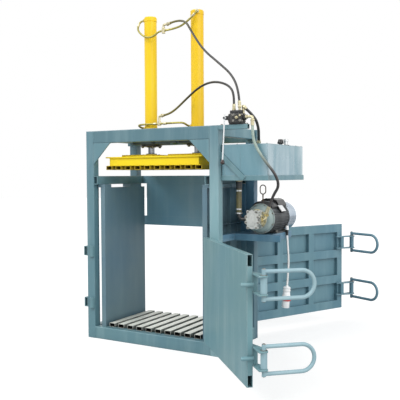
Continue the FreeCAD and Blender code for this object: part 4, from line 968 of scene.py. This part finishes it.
motorLook = {
    "x": 0.9675, "z": 1.188, "bellBolts": (8, 0.128, 22.5), "bellY": -0.062, "shieldBolts": (4, 1.0, 45),
    "shieldY": 0.318, "shieldRing": 0.134, "plateUp": (0.8, 0, 0.6), "plateAcross": (0.6, 0, -0.8),
    "plateY": 0.148, "plateRing": 0.137, "pad": ((-0.036, -0.05, -0.014), (0.036, 0.05, 0.006), 0.002),
    "plate": ((-0.034, -0.048, 0.006), (0.034, 0.048, 0.009), 0.0008),
    "shieldBolt": [(0, 0.0035), (0.004, 0.003), (0.0062, 0), (0, 0)],
    "coverScrew": [(0, 0.004), (0.004, 0.0035), (0.006, 0.001), (0.006, 0), (0, 0)],
    "screws": [(x, y) for x in (-0.03, 0.03) for y in (0.135, 0.268)], "coverZ": 1.36,
}


def dressMotor():
    m = motorLook
    mesh = bmesh.new()
    for across, up in circle(*m["bellBolts"]):
        addHead(mesh, (m["x"] + across, m["bellY"], m["z"] + up), (0, -1, 0), 0.011, 0.006)
    for across, up in circle(*m["shieldBolts"]):
        outward = Vector((across, 0, up))
        place = Vector((m["x"], m["shieldY"], m["z"])) + outward * m["shieldRing"]
        addTurned(mesh, m["shieldBolt"], place, outward, 12)
    addPiece(mesh, "shieldBolts", "boltSteel")

    outward = Vector(m["plateUp"])
    centre = Vector((m["x"], m["plateY"], m["z"])) + outward * m["plateRing"]
    turn = Matrix((Vector(m["plateAcross"]), Vector((0, 1, 0)), outward)).transposed().to_4x4()
    for block, name, finish in (("pad", "platePad", "blackPlastic"), ("plate", "barePlate", "barePlate")):
        mesh = bmesh.new()
        made = addBlock(mesh, *m[block])
        move(mesh, Matrix.Translation(centre) @ turn, made)
        addPiece(mesh, name, finish)

    mesh = bmesh.new()
    for x, y in m["screws"]:
        addTurned(mesh, m["coverScrew"], (m["x"] + x, y, m["coverZ"]), sides=14)
    addPiece(mesh, "coverScrews", "platedSilver")


dressMotor()

pumpLook = {
    "padY": -0.2385, "padRise": 0.026, "padRadius": 0.03, "padSteps": 24, "flangeY": -0.1196,
    "outletX": 1.0455, "outletY": -0.1935,
    "outlet": ((1.0385, -0.2065, 1.1445), (1.0455, -0.1515, 1.2315), 0.002),
    "screws": [(y, z) for y in (-0.2, -0.158) for z in (1.152, 1.224)],
    "screw": [(0, 0.007), (0.0048, 0.007), (0.0056, 0.006), (0.0056, 0), (0, 0)],
    "flange": [(0.052, 0.0), (0.086, 0.0), (0.086, 0.004), (0.08, 0.007), (0.052, 0.007), (0.052, 0.0)],
    "neck": (0.015, 0.0205, 0, 0.016), "neckPlace": (1.0845, -0.1935, 1.222),
    "neckHeading": (0.2, -0.03, 1),
}


def dressPump():
    m, look = motorLook, pumpLook
    mesh = bmesh.new()
    outline = []
    for step, (across, up) in enumerate(circle(look["padSteps"], look["padRadius"])):
        rise = look["padRise"] if 0 < step <= look["padSteps"] / 2 else -look["padRise"]
        outline.append((m["x"] + across, m["z"] + rise + up))
    addSlab(mesh, outline, look["padY"], 0.006)
    addPiece(mesh, "pumpPad", "pumpAlloy")

    mesh = bmesh.new()
    addTurned(mesh, look["flange"], (m["x"], look["flangeY"], m["z"]), (0, -1, 0), 48)
    addBlock(mesh, *look["outlet"])
    for place in look["screws"]:
        addTurned(mesh, look["screw"], (look["outletX"], *place), (1, 0, 0), 14)
    addPiece(mesh, "outletPlate", "tanAlloy")

    mesh = bmesh.new()
    addHead(mesh, (look["outletX"], look["outletY"], m["z"]), (1, 0, 0), 0.0375, 0.013)
    addTurned(mesh, band(*look["neck"]), look["neckPlace"], look["neckHeading"], 24)
    addPiece(mesh, "outletNut", "brassParts")


dressPump()

plugLook = {
    "relief": [(0.0092, 0.03), (0.01, 0.03)], "ribs": 4, "reliefHeading": (0.05, -0.0167, -1),
    "sleeve": [(0.0139, 0), (0.0158, 0.001), (0.0158, 0.012), (0.015, 0.014), (0.015, 0.038), (0.0139, 0.04)],
    "sleevePlace": (1.088, 0.256, 1.07),
    "body": [(0, 0.004), (0.0105, 0.004), (0.0125, 0.01), (0.015, 0.018), (0.029, 0.02), (0.032, 0.024),
             (0.032, 0.036), (0.029, 0.038), (0.029, 0.042), (0.033, 0.045), (0.033, 0.06), (0.0298, 0.063),
             (0.0298, 0.068), (0.0325, 0.072), (0.0345, 0.094), (0.0385, 0.102), (0.04, 0.118),
             (0.0425, 0.121), (0.0425, 0.147), (0.0375, 0.149), (0.0345, 0.153), (0.035, 0.209),
             (0.0342, 0.212), (0.0295, 0.212), (0.0288, 0.209), (0.0288, 0.176), (0, 0.176)],
    "grips": 24, "gripRing": 0.0315, "gripHalf": 0.0018,
    "gripRows": ((1.0, 0.0255, 0.0345), (1.03, 0.0465, 0.0585)),
    "ring": [(0.0425, 0.0), (0.0448, 0.0015), (0.0455, 0.006), (0.0455, 0.019), (0.0448, 0.0235),
             (0.0425, 0.025)],
    "ringStart": 0.1215, "pins": (0.0035, 0.003, 0.003, 0.003, 0.003), "pinRing": 0.018, "pinStart": 0.173,
}


def dressCord():
    look = plugLook
    start, before, end = (cordLine["points"][n] for n in (0, -2, -1))
    mesh = bmesh.new()
    profile = list(look["relief"])
    for rib in range(look["ribs"]):
        low = 0.024 - rib * 0.0055
        wide = 0.0104 + rib * 0.0008
        slim = wide - 0.0011
        profile += [(wide, low + 0.0022), (wide, low), (slim, low - 0.0006), (slim, low - 0.0028)]
    profile += [(0.0142, 0.0), (0.0092, 0.0)]
    addTurned(mesh, profile, start, look["reliefHeading"], 24)
    addPiece(mesh, "strainRelief", "blackPlastic")
    mesh = bmesh.new()
    addTurned(mesh, look["sleeve"], look["sleevePlace"], sides=28)
    addPiece(mesh, "cordSleeve", "barePlate")

    heading = (Vector(end) - Vector(before)).normalized()
    axis = aim(end, heading)
    mesh = bmesh.new()  # body, its gland nut, and the open shroud round the pins
    addTurned(mesh, look["body"], end, heading, 48)
    addPiece(mesh, "plugBody", "barePlate", sharp=30, stands="power_plug")
    mesh = bmesh.new()
    half = look["gripHalf"]
    for across, along in circle(look["grips"], look["gripRing"]):
        for swell, low, high in look["gripRows"]:
            x, y = across * swell, along * swell
            addBlock(mesh, (x - half, y - half, low), (x + half, y + half, high), 0.0005)
    move(mesh, axis)
    addPiece(mesh, "plugRibs", "barePlate")
    mesh = bmesh.new()
    addTurned(mesh, look["ring"], axis @ Vector((0, 0, look["ringStart"])), heading, 48)
    addPiece(mesh, "plugRing", "redCollar")
    mesh = bmesh.new()
    for radius, (x, y) in zip(look["pins"], circle(5, look["pinRing"], 90)):
        foot = axis @ Vector((x, y, look["pinStart"]))
        tip = [(radius, 0.03), (radius - 0.001, 0.032), (0, 0.032)]
        addTurned(mesh, [(radius, 0), *tip], foot, heading, 16)
    addPiece(mesh, "plugPins", "brassParts")
    powerCord = softLine("powerCord", cordLine, "cordSheath")


dressCord()
print("motor, pump and plug dressed")


# floor, light and background

stageLook = {
    "radius": 40.0, "floor": (0.5, 0.5, 0.5, 1), "lift": 0.62, "white": (1, 1, 1, 1), "roomLight": 0.72,
    "keyLight": 1.28, "keyHeading": (0.55, 0.75, -0.85), "keySpread": 35, "fillLight": 1.3,
    "fillHeading": (-0.8, 0.35, -0.4), "fillSpread": 60,
}


def buildStage():
    mesh = bmesh.new()
    bmesh.ops.create_circle(mesh, cap_ends=True, segments=48, radius=stageLook["radius"])
    data = bpy.data.meshes.new("floor")
    mesh.to_mesh(data)
    mesh.free()
    floor = link("floor", data)
    finish = Finish("paleFloor")
    matt = finish.node("ShaderNodeBsdfDiffuse", {"Color": stageLook["floor"]})
    white = stageLook["white"]
    glow = finish.node("ShaderNodeEmission", {"Color": white, "Strength": stageLook["lift"]})
    seen = finish.node("ShaderNodeLightPath", out="Is Camera Ray")
    dark = finish.node("ShaderNodeEmission", {"Color": (0, 0, 0, 1), "Strength": 0.0})
    lifted = finish.node("ShaderNodeMixShader", {0: seen, 1: dark, 2: glow})
    data.materials.append(finish.output(finish.node("ShaderNodeAddShader", {0: matt, 1: lifted})))


def buildWorld():  # white where it is seen, dimmer as a light
    world = bpy.data.worlds.new("studio")
    scene.world = world
    sky = Finish(world)
    seen, glossy, clear = (sky.node("ShaderNodeLightPath", out=ray)
                           for ray in ("Is Camera Ray", "Is Glossy Ray", "Is Transmission Ray"))
    both = seen.maths("MAXIMUM", seen.maths("MAXIMUM", seen, glossy), clear)
    room, white = (sky.node("ShaderNodeBackground", {"Color": stageLook["white"], "Strength": strength})
                   for strength in (stageLook["roomLight"], 1.0))
    sky.output(sky.node("ShaderNodeMixShader", {0: both, 1: room, 2: white}), "ShaderNodeOutputWorld")


def addSun(name):
    data = bpy.data.lights.new(name, "SUN")
    data.energy = stageLook[name + "Light"]
    data.angle = math.radians(stageLook[name + "Spread"])
    link(name, data).rotation_euler = Vector(stageLook[name + "Heading"]).to_track_quat("-Z", "Y").to_euler()


buildStage()
buildWorld()
addSun("key")
addSun("fill")
scene.view_settings.view_transform = "Standard"
print("studio lit")
